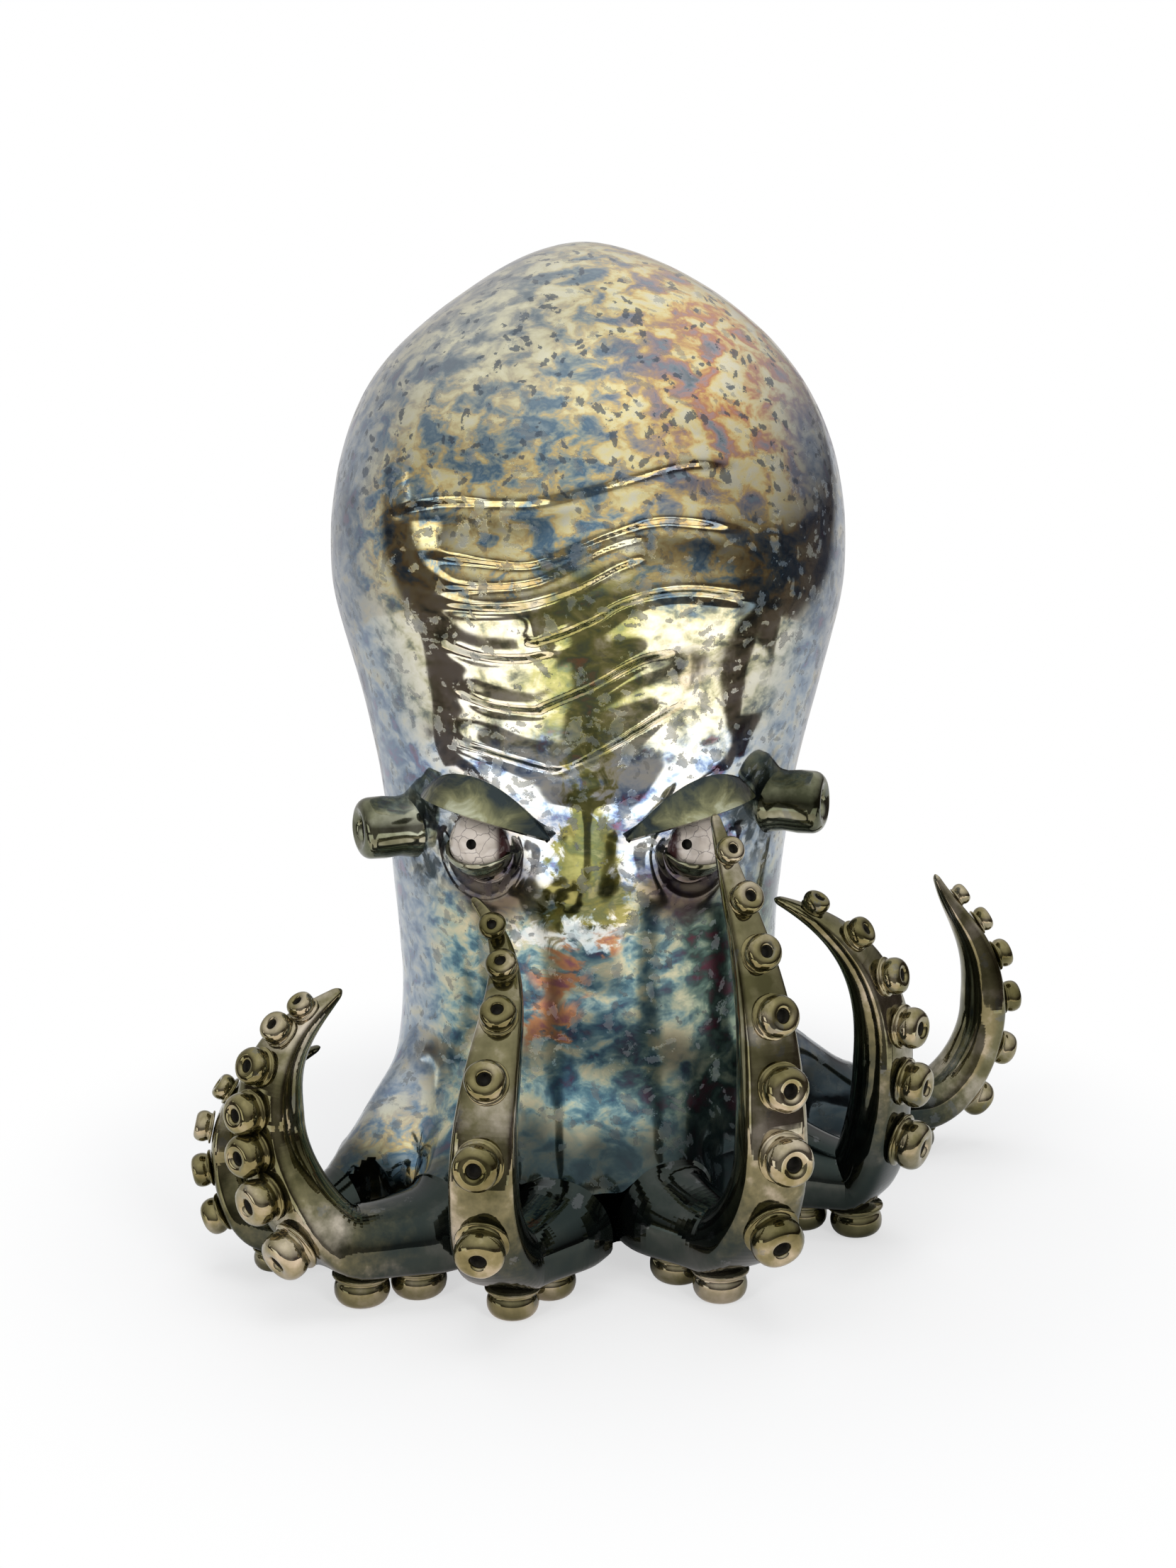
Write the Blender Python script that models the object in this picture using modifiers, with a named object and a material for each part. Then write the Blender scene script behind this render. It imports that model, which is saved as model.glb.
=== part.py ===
# A hollow, hand-built ceramic octopus that stands on the suckers of its eight curled arms.
# Sizes are in metres and angles in degrees. The body's axis is Z and its face looks along -Y.
# Azimuths turn from the face towards +X, and heights are above the table.

import math
from collections import namedtuple

import bmesh
import bpy
from mathutils import Matrix, Vector
from mathutils.geometry import interpolate_bezier

GAP = 0.0003  # between pieces that touch

# Body shell: the outer line runs from the crown over the widest place and the neck to the hem.
CROWN_HEIGHT = 0.315
CROWN_ROUND = 0.029  # a longer handle makes a flatter crown
WIDEST_RADIUS = 0.083
WIDEST_HEIGHT = 0.225
WIDEST_ROUND_ABOVE = 0.052
WIDEST_ROUND_BELOW = 0.038
NECK_RADIUS = 0.0640
NECK_HEIGHT = 0.079
NECK_ROUND_ABOVE = 0.070
NECK_ROUND_BELOW = 0.030
HEM_RADIUS = 0.078
HEM_HEIGHT = 0.016
HEM_ROUND = 0.016
HEM_SLOPE = 50.0
WALL = 0.006
BODY_STEPS = 36
CROWN_POINTS = 9
NECK_POINTS = 8
HEM_POINTS = 6
ENVELOPE_DEPTH = 0.020  # of the trimming shape below the table

# Face: eyeballs in round sockets, slab upper lids, rolled lower lids, a siphon on each side.
EYE_AZIMUTH = 29.0
EYE_HEIGHT = 0.131
EYE_RADIUS = 0.0115
EYE_SINK = 0.001  # centre of the eyeball behind the body's face
PUPIL_RADIUS = 0.0017
PUPIL_DEPTH = 0.003
PUPIL_STEPS = 10
EYE_STEPS = 20
EYE_RINGS = 12
LID_HALF_WIDTH = 0.0235
LID_RISE = 0.0095
LID_REACH = 0.0175
LID_RIM = 0.0105  # the upper lid's rim above the eye's centre
LID_SLANT = 9.0  # the rims slope down towards the nose
LOWER_LID_RADIUS = 0.0026
LOWER_LID_FORWARD = 0.0035
LOWER_LID_SPAN = 200.0
LOWER_LID_SIDES = 8
LOWER_LID_STEPS = 14
SIPHON_RADIUS = 0.0090
SIPHON_LENGTH = 0.017
SIPHON_EDGE = 0.003
SIPHON_HOLE_RADIUS = 0.0034
SIPHON_HOLE_DEPTH = 0.009
SIPHON_TURN = 8.0  # points this much further back than straight out
SIPHON_STEPS = 16
SIPHONS = {"left": (-58.0, 0.132), "right": (60.0, 0.140)}  # azimuth and height

# Suckers: squat barrels, largest under the foot and smallest near the arm's tip.
Barrel = namedtuple("Barrel", "radius height rim hole depth")
FOOT_SUCKER = Barrel(0.0072, 0.0088, 0.0052, 0.0021, 0.0040)
TIP_SUCKER = Barrel(0.0037, 0.0046, 0.0027, 0.0011, 0.0020)
SUCKER_NARROWING = 0.0012  # at the base, from the widest place
SUCKER_WAIST = 0.5  # height of the widest place as a share
SUCKER_SPACE = 0.0022  # between the two suckers under a foot
SUCKER_SINK = 0.0006  # of the small suckers that are one with the arm's end
SUCKER_STEPS = 10
BUD_STEPS = 8  # round the small ones
SEPARATE_SUCKERS = 5

# Arms: a lobe on the body, a level foot, a belly that bulges outwards and a tip that leans in.
ROOT_HEIGHT = 0.037
ROOT_DEPTH = 0.036
ROOT_FALL = 30.0
ROOT_RINGS = 4
CREASE = 0.0045  # between the lobes of neighbouring arms
WIDEST_LOBE = 12.0  # most that a lobe spreads to either side
FOOT_WIDTH = 0.025
FOOT_DEPTH = 0.020
BELLY_WIDTH = 0.0205
BELLY_DEPTH = 0.0165
TIP_WIDTH = 0.0035
TIP_DEPTH = 0.0030
TIP_BARE = 0.012  # length without suckers at the tip
TIP_TAPER = 1.4  # above 1, the arm keeps its girth for longer before the tip
ROUNDNESS = 0.5  # of the curl: handle lengths as shares of the spans
TIP_STIFFNESS = 0.7  # of the tip's handle against the belly's
LOBE_HOLD = 0.2  # share of the way to the foot on which a lobe keeps its spread
PATH_STEPS = 24  # in each span of an arm's centre line

# Reaches are measured outwards from the hem. root is the azimuth of the lobe, heading that of the
# level foot, and facing the one that the suckers look to. The tip's end climbs at the angle rise
# and points inwards, turned by the angle curl.
Arm = namedtuple("Arm", "root heading facing foot belly tip rise curl girth suckers")
ARMS = {
    "left_front": Arm(
        -35, -72, -38, (-35, 0.038), (-47, 0.050, 0.055), (-44, 0.028, 0.090), 40, -40, 1.0, 9),
    "left": Arm(
        -63, -68, -82, (-53, 0.043), (-58, 0.052, 0.037), (-55, 0.024, 0.066), 30, -30, 0.75, 8),
    "front_left": Arm(
        -8, -40, -8, (-12, 0.027), (-14, 0.042, 0.046), (-26, 0.001, 0.117), 48, 90, 0.95, 8),
    "front_right": Arm(
        25, 45, 22, (23, 0.022), (26, 0.040, 0.051), (25, 0.009, 0.144), 72, 25, 1.0, 9),
    "right_front": Arm(
        57, 72, 54, (61, 0.020), (60, 0.029, 0.060), (48, 0.000, 0.112), 12, 0, 1.0, 8),
    "right": Arm(
        100, 101, 98, (101, 0.043), (101, 0.068, 0.052), (101, 0.048, 0.102), 66, 0, 0.9, 8),
    "back_right": Arm(
        153, 153, 152, (153, 0.026), (152, 0.042, 0.050), (150, 0.010, 0.092), 45, 0, 0.9, 7),
    "back_left": Arm(
        -149, -150, -150, (-150, 0.026), (-151, 0.040, 0.048), (-150, 0.012, 0.082), 40, 0, 0.9, 7),
}
SECTION = (  # across and through, as shares of the half sizes, flat on the sucker side
    (0.76, 1.0), (1.0, 0.5), (1.0, -0.1), (0.7, -0.75), (0.0, -1.0),
    (-0.7, -0.75), (-1.0, -0.1), (-1.0, 0.5), (-0.76, 1.0),
)

UP = Vector((0, 0, 1))
WELD = 0.00001  # points nearer than this are one


def clear_scene():
    for old in list(bpy.data.objects):
        bpy.data.objects.remove(old, do_unlink=True)


def new_collection(name):
    collection = bpy.data.collections.new(name)
    bpy.context.scene.collection.children.link(collection)
    return collection


def glaze(name, colour, roughness, metallic):
    material = bpy.data.materials.new(name)
    material.use_nodes = True
    shader = material.node_tree.nodes["Principled BSDF"]
    shader.inputs["Base Color"].default_value = (*colour, 1.0)
    shader.inputs["Roughness"].default_value = roughness
    shader.inputs["Metallic"].default_value = metallic
    return material


clear_scene()
figure = bpy.data.objects.new("octopus", None)
pieces = new_collection("octopus figurine")
cutters = new_collection("octopus cutters")
pieces.objects.link(figure)
lustre = glaze("mottled lustre glaze", (0.28, 0.33, 0.30), 0.18, 0.6)
bronze = glaze("dark olive lustre", (0.09, 0.09, 0.045), 0.2, 0.75)
gold = glaze("olive gold lustre", (0.20, 0.17, 0.075), 0.2, 0.75)
white = glaze("white crackle glaze", (0.72, 0.68, 0.62), 0.25, 0.0)


def add(name, mesh, material=None, matrix=None):
    # With no material, the object is a cutter.
    piece = bpy.data.objects.new(name, mesh)
    piece.parent = figure
    if matrix:
        piece.matrix_local = matrix
    if material:
        mesh.materials.append(material)
        pieces.objects.link(piece)
    else:
        cutters.objects.link(piece)
        piece.hide_render = True
        piece.display_type = "WIRE"
    return piece


def combine(piece, other, operation="DIFFERENCE"):
    boolean = piece.modifiers.new(other.name, "BOOLEAN")
    boolean.operation = operation
    boolean.solver = "EXACT"
    boolean.object = other


def turned(name, line, steps, material=None, matrix=None):
    # The line starts on the axis, runs down the outer side and ends on the axis.
    mesh = bpy.data.meshes.new(name)
    mesh.from_pydata(line, [(i, i + 1) for i in range(len(line) - 1)], [])
    piece = add(name, mesh, material, matrix)
    screw = piece.modifiers.new("turn", "SCREW")
    screw.steps = screw.render_steps = steps
    screw.use_merge_vertices = True
    screw.merge_threshold = WELD
    screw.use_smooth_shade = True
    return piece


def from_bmesh(name, bm, material=None, matrix=None):
    mesh = bpy.data.meshes.new(name)
    bmesh.ops.recalc_face_normals(bm, faces=bm.faces)
    bm.to_mesh(mesh)
    bm.free()
    mesh.shade_smooth()
    return add(name, mesh, material, matrix)


def ball(name, radius, material=None, matrix=None):
    bm = bmesh.new()
    bmesh.ops.create_uvsphere(bm, u_segments=EYE_STEPS, v_segments=EYE_RINGS, radius=radius)
    return from_bmesh(name, bm, material, matrix)


def polar(azimuth, radius, height):
    turn = math.radians(azimuth)
    return Vector((radius * math.sin(turn), -radius * math.cos(turn), height))


def level(azimuth):
    return polar(azimuth, 1, 0)


def frame(origin, outward, upward):
    # Local Z along outward, and local Y as near to upward as can be.
    z = outward.normalized()
    x = upward.cross(z).normalized()
    axes = Matrix((x, z.cross(x), z)).transposed().to_4x4()
    return Matrix.Translation(origin) @ axes


def outer_line():
    out = Vector((1, 0, 0))
    slope = math.radians(HEM_SLOPE)
    flare = Vector((-math.cos(slope), 0, math.sin(slope)))
    crown = Vector((0, 0, CROWN_HEIGHT))
    widest = Vector((WIDEST_RADIUS, 0, WIDEST_HEIGHT))
    neck = Vector((NECK_RADIUS, 0, NECK_HEIGHT))
    hem = Vector((HEM_RADIUS, 0, HEM_HEIGHT))
    spans = (
        (crown, crown + out * CROWN_ROUND, widest + UP * WIDEST_ROUND_ABOVE, widest,
         CROWN_POINTS),
        (widest, widest - UP * WIDEST_ROUND_BELOW, neck + UP * NECK_ROUND_ABOVE, neck,
         NECK_POINTS),
        (neck, neck - UP * NECK_ROUND_BELOW, hem + flare * HEM_ROUND, hem, HEM_POINTS),
    )
    line = [crown]
    for start, leaving, arriving, end, count in spans:
        line += interpolate_bezier(start, leaving, arriving, end, count)[1:]
    return line


def offset(line, distance):
    moved = []
    for i, point in enumerate(line):
        along = line[min(i + 1, len(line) - 1)] - line[max(i - 1, 0)]
        moved.append(point + Vector((-along.z, 0, along.x)).normalized() * distance)
    moved[0] = line[0] + UP * distance
    return moved


BODY_LINE = outer_line()


def on_body(azimuth, height):
    # The point of the outer face at this place, and the way that the face looks there.
    for upper, lower in zip(BODY_LINE, BODY_LINE[1:]):
        if lower.z <= height <= upper.z:
            share = (upper.z - height) / (upper.z - lower.z)
            point = polar(azimuth, upper.lerp(lower, share).x, height)
            tilt = (lower.x - upper.x) / (upper.z - lower.z)
            return point, (level(azimuth) + UP * tilt).normalized()
    raise ValueError("height outside the body")


def make_body():
    inner = offset(BODY_LINE, -WALL)
    body = turned("body_shell", BODY_LINE + inner[::-1], BODY_STEPS, lustre)
    # The envelope trims what is stuck on the body. It goes on below the hem, past the table.
    skin = offset(BODY_LINE, GAP)
    below = Vector((skin[-1].x, 0, -ENVELOPE_DEPTH))
    envelope = turned("envelope", skin + [below, Vector((0, 0, below.z))], BODY_STEPS)
    return body, envelope


def make_eye(side, sign, body, envelope):
    seat, outward = on_body(sign * EYE_AZIMUTH, EYE_HEIGHT)
    centre = seat - outward * EYE_SINK
    place = frame(centre, outward, UP)
    socket = ball(f"socket_{side}", EYE_RADIUS + GAP, None, place)
    combine(body, socket)

    eyeball = ball(f"eyeball_{side}", EYE_RADIUS, white, place)
    look = frame(centre + level(0) * (EYE_RADIUS - PUPIL_DEPTH), level(0), UP)
    bm = bmesh.new()
    bmesh.ops.create_cone(bm, cap_ends=True, segments=PUPIL_STEPS, radius1=PUPIL_RADIUS,
                          radius2=PUPIL_RADIUS, depth=2 * PUPIL_DEPTH,
                          matrix=Matrix.Translation((0, 0, PUPIL_DEPTH)))
    combine(eyeball, from_bmesh(f"pupil_{side}", bm, None, look))

    slant = Matrix.Rotation(math.radians(sign * LID_SLANT), 4, "Z")
    bm = bmesh.new()
    bmesh.ops.create_uvsphere(bm, u_segments=EYE_STEPS, v_segments=EYE_RINGS, radius=1)
    bmesh.ops.scale(bm, vec=(LID_HALF_WIDTH, LID_RISE, LID_REACH), verts=bm.verts)
    bmesh.ops.bisect_plane(bm, geom=bm.verts[:] + bm.edges[:] + bm.faces[:], dist=WELD,
                           plane_co=(0, 0, 0), plane_no=(0, 1, 0), clear_inner=True)
    bmesh.ops.holes_fill(bm, edges=[e for e in bm.edges if e.is_boundary])
    rim = Matrix.Translation((0, LID_RIM, 0))
    upper = from_bmesh(f"upper_lid_{side}", bm, bronze, place @ slant @ rim)
    combine(upper, socket)
    combine(upper, envelope)

    span = math.radians(LOWER_LID_SPAN)
    bm = bmesh.new()
    bmesh.ops.create_circle(bm, segments=LOWER_LID_SIDES, radius=LOWER_LID_RADIUS,
                            matrix=Matrix.Rotation((span - math.pi) / 2, 4, "Z")
                            @ Matrix.Translation((EYE_RADIUS + LOWER_LID_RADIUS / 2, 0, 0))
                            @ Matrix.Rotation(math.pi / 2, 4, "X"))
    bmesh.ops.spin(bm, geom=bm.verts[:] + bm.edges[:], cent=(0, 0, 0), axis=(0, 0, -1),
                   dvec=(0, 0, 0), angle=span, steps=LOWER_LID_STEPS, use_merge=False)
    bmesh.ops.holes_fill(bm, edges=[e for e in bm.edges if e.is_boundary])
    forward = Matrix.Translation((0, 0, LOWER_LID_FORWARD))
    lower = from_bmesh(f"lower_lid_{side}", bm, bronze, place @ slant @ forward)
    combine(lower, socket)
    combine(lower, envelope)


def make_siphon(side, azimuth, height, envelope):
    seat = on_body(azimuth, height)[0]
    heading = level(azimuth + math.copysign(SIPHON_TURN, azimuth))
    end = SIPHON_LENGTH
    edge = SIPHON_EDGE
    bevel = edge * (1 - math.sin(math.pi / 4))
    buried = -2 * SIPHON_RADIUS  # well inside the body, where the envelope trims it
    line = [
        (0, end - SIPHON_HOLE_DEPTH), (SIPHON_HOLE_RADIUS, end - SIPHON_HOLE_DEPTH),
        (SIPHON_HOLE_RADIUS, end), (SIPHON_RADIUS - edge, end), (SIPHON_RADIUS - bevel, end - bevel),
        (SIPHON_RADIUS, end - edge), (SIPHON_RADIUS, buried), (0, buried),
    ]
    profile = [Vector((radius, 0, along)) for radius, along in line]
    siphon = turned(f"siphon_{side}", profile, SIPHON_STEPS, bronze, frame(seat, heading, UP))
    combine(siphon, envelope)


def barrel_line(size):
    line = [
        (0, size.height - size.depth), (size.hole, size.height - size.depth),
        (size.hole, size.height), (size.rim, size.height),
        (size.radius, size.height * SUCKER_WAIST),
        (size.radius - SUCKER_NARROWING, 0), (0, 0),
    ]
    return [Vector((radius, 0, along)) for radius, along in line]


class Path:
    # A smooth run of Bezier spans, looked up by the length along it.
    def __init__(self, spans):
        self.points = []
        self.ways = []
        self.lengths = []
        self.ends = []
        for a, b, c, d in spans:
            for i in range(PATH_STEPS + 1):
                t = i / PATH_STEPS
                s = 1 - t
                way = (b - a) * s * s + (c - b) * 2 * s * t + (d - c) * t * t
                self.points.append(a * s**3 + b * 3 * s * s * t + c * 3 * s * t * t + d * t**3)
                self.ways.append(way.normalized())
                step = (self.points[-1] - self.points[-2]).length if len(self.points) > 1 else 0
                self.lengths.append(step + (self.lengths[-1] if self.lengths else 0))
            self.ends.append(self.lengths[-1])

    def at(self, length):
        for i in range(1, len(self.lengths)):
            if length <= self.lengths[i] or i == len(self.lengths) - 1:
                step = self.lengths[i] - self.lengths[i - 1]
                share = min((length - self.lengths[i - 1]) / step, 1) if step else 0
                way = self.ways[i - 1].lerp(self.ways[i], share).normalized()
                return self.points[i - 1].lerp(self.points[i], share), way


def ease(share):
    share = min(max(share, 0), 1)
    return share * share * (3 - 2 * share)


def mix(a, b, share):
    return a + (b - a) * share


def lobe_room(name):
    # Angles from this arm's root to the creases on its two sides.
    roots = sorted(arm.root for arm in ARMS.values())
    place = roots.index(ARMS[name].root)
    before = (roots[place] - roots[place - 1]) % 360 / 2
    after = (roots[(place + 1) % len(roots)] - roots[place]) % 360 / 2
    return min(before, WIDEST_LOBE), min(after, WIDEST_LOBE)


def sucker_size(share, girth):
    sizes = (mix(a, b, share) * girth for a, b in zip(FOOT_SUCKER, TIP_SUCKER))
    return Barrel(*sizes)


def arm_path(arm):
    foot_sucker = sucker_size(0, arm.girth)
    foot_height = foot_sucker.height + GAP + FOOT_DEPTH * arm.girth / 2
    start = polar(arm.root, NECK_RADIUS - ROOT_DEPTH / 2, ROOT_HEIGHT)
    foot = polar(arm.foot[0], HEM_RADIUS + arm.foot[1], foot_height)
    belly = polar(arm.belly[0], HEM_RADIUS + arm.belly[1], arm.belly[2])
    tip = polar(arm.tip[0], HEM_RADIUS + arm.tip[1], arm.tip[2])
    ahead = level(arm.heading)
    run = 2 * foot_sucker.radius + SUCKER_SPACE
    heel = foot - ahead * run
    fall = math.radians(ROOT_FALL)
    down = (heel - start).xy.normalized().to_3d() * math.cos(fall) - UP * math.sin(fall)
    rise = math.radians(arm.rise)
    ending = level(arm.facing + 180 + arm.curl) * math.cos(rise) + UP * math.sin(rise)
    third = (heel - start).length / 3
    bulge = ROUNDNESS * (belly.xy - foot.xy).length
    climb = ROUNDNESS * (belly.z - foot.z)
    sweep = ROUNDNESS * (tip - belly).length
    return Path((
        (start, start + down * third, heel - ahead * third, heel),
        (heel, heel.lerp(foot, 1 / 3), heel.lerp(foot, 2 / 3), foot),
        (foot, foot + ahead * bulge, belly - UP * climb, belly),
        (belly, belly + UP * sweep, tip - ending * sweep * TIP_STIFFNESS, tip),
    ))


def arm_sizes(name, path, length):
    # Half widths to both sides, and depths from the centre line to the flat and to the round side.
    arm = ARMS[name]
    foot, belly, tip = path.ends[1:]
    if length < foot:
        point = path.at(length)[0]
        share = ease((length / foot - LOBE_HOLD) / (1 - LOBE_HOLD))
        room = lobe_room(name)
        lobe = [point.xy.length * math.tan(math.radians(angle)) - CREASE / 2 for angle in room]
        sides = [mix(side, FOOT_WIDTH * arm.girth / 2, share) for side in lobe]
        flat = FOOT_DEPTH * arm.girth / 2
        return sides[0], sides[1], flat, mix(ROOT_DEPTH - flat, flat, share)
    if length < belly:
        share = ease((length - foot) / (belly - foot))
        width = mix(FOOT_WIDTH, BELLY_WIDTH, share)
        depth = mix(FOOT_DEPTH, BELLY_DEPTH, share)
    else:
        share = ((length - belly) / (tip - belly)) ** TIP_TAPER
        width = mix(BELLY_WIDTH, TIP_WIDTH, share)
        depth = mix(BELLY_DEPTH, TIP_DEPTH, share)
    width *= arm.girth / 2
    depth *= arm.girth / 2
    return width, width, depth, depth


def arm_frame(arm, path, length):
    # The point, the way along the arm, the way that its flat side looks, and the way across.
    point, way = path.at(length)
    across = UP.cross(level(arm.facing))
    flat = across.cross(way).normalized()
    return point, way, flat, way.cross(flat)


def sucker_places(arm, path):
    # Lengths along the arm and sizes: two under the level foot, the rest evenly spaced.
    heel, foot = path.ends[:2]
    tip = path.ends[-1]
    sizes = [sucker_size(max(i - 1, 0) / (arm.suckers - 2), arm.girth) for i in range(arm.suckers)]
    steps = [a.radius + b.radius for a, b in zip(sizes[1:], sizes[2:])]
    space = (tip - TIP_BARE - foot - sum(steps)) / len(steps)
    lengths = [heel, foot]
    for step in steps:
        lengths.append(lengths[-1] + step + space)
    return list(zip(lengths, sizes))


def make_arm(name, envelope):
    arm = ARMS[name]
    path = arm_path(arm)
    heel = path.ends[0]
    tip = path.ends[-1]
    places = sucker_places(arm, path)
    seats = [length for length, size in places]
    between = [(a + b) / 2 for a, b in zip(seats, seats[1:])]
    root = [heel * i / ROOT_RINGS for i in range(ROOT_RINGS)]
    stations = root + sorted(seats + between) + [(seats[-1] + tip) / 2, tip]
    rings = []
    flats = {}
    for length in stations:
        point, way, flat, across = arm_frame(arm, path, length)
        right, left, outer, inner = arm_sizes(name, path, length)
        ring = []
        for x, y in SECTION:
            side = across * x * (left if x > 0 else right)
            ring.append(point + side + flat * y * (outer if y > 0 else inner))
        rings.append(ring)
        flats[length] = (point + flat * outer, flat, way)

    limb = loft(f"arm_{name}", rings, bronze)
    buds = []
    for number, (length, size) in enumerate(places, 1):
        seat, flat, way = flats[length]
        if number > 2:
            here = stations.index(length)
            way = flats[stations[here + 1]][0] - flats[stations[here - 1]][0]
            flat = (flat - way.normalized() * flat.dot(way.normalized())).normalized()
        separate = number <= SEPARATE_SUCKERS
        place = frame(seat + flat * (GAP if separate else -SUCKER_SINK), flat, way)
        material, steps = (gold, SUCKER_STEPS) if separate else (None, BUD_STEPS)
        sucker = turned(f"sucker_{name}_{number}", barrel_line(size), steps, material, place)
        if not separate:
            buds.append(sucker)
    for bud in buds:
        combine(limb, bud, "UNION")
    combine(limb, envelope)


def loft(name, rings, material):
    bm = bmesh.new()
    loops = [[bm.verts.new(point) for point in ring] for ring in rings]
    bm.faces.new(loops[0])
    bm.faces.new(loops[-1])
    for lower, upper in zip(loops, loops[1:]):
        for i in range(len(lower)):
            bm.faces.new((lower[i - 1], lower[i], upper[i], upper[i - 1]))
    return from_bmesh(name, bm, material)


def centre_figure():
    # The origin goes to the middle of the figure's base.
    graph = bpy.context.evaluated_depsgraph_get()
    points = []
    for piece in pieces.objects:
        if piece.type == "MESH":
            shape = piece.evaluated_get(graph)
            points += [shape.matrix_world @ v.co for v in shape.data.vertices]
    spans = [(min(p[axis] for p in points), max(p[axis] for p in points)) for axis in (0, 1)]
    figure.location = (-sum(spans[0]) / 2, -sum(spans[1]) / 2, 0)


body_shell, body_envelope = make_body()
make_eye("left", -1, body_shell, body_envelope)
make_eye("right", 1, body_shell, body_envelope)
for siphon_side, (siphon_azimuth, siphon_height) in SIPHONS.items():
    make_siphon(siphon_side, siphon_azimuth, siphon_height, body_envelope)
for arm_name in ARMS:
    make_arm(arm_name, body_envelope)
centre_figure()
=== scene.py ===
# Looks of the lustre-glazed octopus: one skin drawn from body and arm roots, clean arms, face and glazes.
import random
from math import asin, atan2, copysign, cos, degrees, exp, pi, prod, radians, sin, sqrt, tan, tanh, tau

import bmesh
import bpy
from mathutils import Matrix, Vector, kdtree, noise
from mathutils.geometry import interpolate_bezier


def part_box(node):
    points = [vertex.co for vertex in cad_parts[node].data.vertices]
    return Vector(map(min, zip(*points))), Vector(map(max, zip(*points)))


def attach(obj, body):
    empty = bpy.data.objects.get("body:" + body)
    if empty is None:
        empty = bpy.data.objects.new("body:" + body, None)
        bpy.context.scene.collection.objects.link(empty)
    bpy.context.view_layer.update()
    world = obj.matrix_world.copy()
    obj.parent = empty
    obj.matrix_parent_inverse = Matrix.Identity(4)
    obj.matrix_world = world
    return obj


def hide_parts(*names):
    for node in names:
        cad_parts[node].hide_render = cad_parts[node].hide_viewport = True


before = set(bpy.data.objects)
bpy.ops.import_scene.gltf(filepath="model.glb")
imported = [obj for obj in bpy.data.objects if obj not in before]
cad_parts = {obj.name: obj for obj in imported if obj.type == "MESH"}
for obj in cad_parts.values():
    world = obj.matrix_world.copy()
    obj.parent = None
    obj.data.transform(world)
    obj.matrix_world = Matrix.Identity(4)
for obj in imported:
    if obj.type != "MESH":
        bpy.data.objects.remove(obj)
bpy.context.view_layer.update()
random.seed(7)
noise.seed_set(7)  # vector noise starts from the clock otherwise

bodyLow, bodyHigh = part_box("body_shell")
axis = Vector(((bodyLow.x + bodyHigh.x) / 2, (bodyLow.y + bodyHigh.y) / 2, 0))  # the thrown body's own axis
up = Vector((0, 0, 1))
weld = 0.000005  # points nearer than this become one
onPlane = 0.00001  # points nearer than this to a cut lie on it
bothSides = (("left", -1), ("right", 1))


# shared helpers

def polar(azimuth, radius, height=0.0):
    turn = radians(azimuth)  # from the face, which looks along -Y, towards +X
    return Vector((radius * sin(turn), -radius * cos(turn), height))


def azimuthOf(point):
    return degrees(atan2(point.x, -point.y))


def ease(share):
    share = min(max(share, 0.0), 1.0)
    return share * share * (3 - 2 * share)


def mix(a, b, share):
    return a + (b - a) * share


def bell(distance, width):
    return exp(-(distance / width) ** 2)


def standing(origin, outward, upward):
    z = outward.normalized()
    x = upward.cross(z).normalized()
    return Matrix.Translation(origin) @ Matrix((x, z.cross(x), z)).transposed().to_4x4()


def spun(bm, line, steps, matrix=None):
    # turns a list of (radius, along) about local Z into a closed form; tagged points belong to older forms
    verts = [bm.verts.new((radius, 0, along)) for radius, along in line]
    edges = [bm.edges.new(pair) for pair in zip(verts, verts[1:])]
    bmesh.ops.spin(bm, geom=verts + edges, cent=(0, 0, 0), axis=up, dvec=(0, 0, 0), angle=tau,
                   steps=steps, use_merge=True)
    bmesh.ops.remove_doubles(bm, verts=[v for v in bm.verts if not v.tag], dist=weld)
    whole = [v for v in bm.verts if not v.tag]
    if matrix:
        bmesh.ops.transform(bm, matrix=matrix, verts=whole)
    for v in whole:
        v.tag = True
    return whole


def relax(bm, verts, times):
    for i in range(times):
        bmesh.ops.smooth_vert(bm, verts=verts, factor=0.5, use_axis_x=True, use_axis_y=True, use_axis_z=True)


def linked(name, data):
    holder = bpy.data.objects.new(name, data)
    bpy.context.scene.collection.objects.link(holder)
    return holder


def meshObject(name, bm):
    mesh = bpy.data.meshes.new(name)
    bm.to_mesh(mesh)
    bm.free()
    return linked(name, mesh)


def finishPiece(name, bm, material, nodes, sharp=None, inside=None):
    # moves a form made about the body's axis to its place, dresses it, hangs it under the root and hides the
    # CAD parts it stands for
    bmesh.ops.recalc_face_normals(bm, faces=bm.faces)
    bmesh.ops.translate(bm, vec=axis, verts=bm.verts)
    piece = meshObject(name, bm)
    piece.data.shade_smooth()
    if sharp:
        piece.data.set_sharp_from_angle(angle=radians(sharp))
    piece.data.materials.append(material)
    if inside:
        piece.data.materials.append(inside)
    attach(piece, "root")
    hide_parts(*nodes)
    return piece


# shader maths as Python expressions

class Wire:
    def __init__(self, glaze, socket):
        self.glaze = glaze
        self.socket = socket

    def maths(self, operation, a, b=0.0):
        return self.glaze.node("Math", {"operation": operation}, {0: a, 1: b})

    def __rsub__(self, other):
        return self.maths("SUBTRACT", other, self)

    def __abs__(self):
        return self.maths("ABSOLUTE", self)


operations = dict(
    __add__="ADD", __radd__="ADD", __sub__="SUBTRACT", __mul__="MULTIPLY", __rmul__="MULTIPLY",
    __truediv__="DIVIDE", __pow__="POWER", __gt__="GREATER_THAN", __lt__="LESS_THAN", atLeast="MAXIMUM",
    atMost="MINIMUM",
)
for method, operation in operations.items():
    setattr(Wire, method, lambda self, other, kind=operation: self.maths(kind, self, other))


def fromAxis(x, y):
    return (x * x + y * y) ** 0.5


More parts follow.
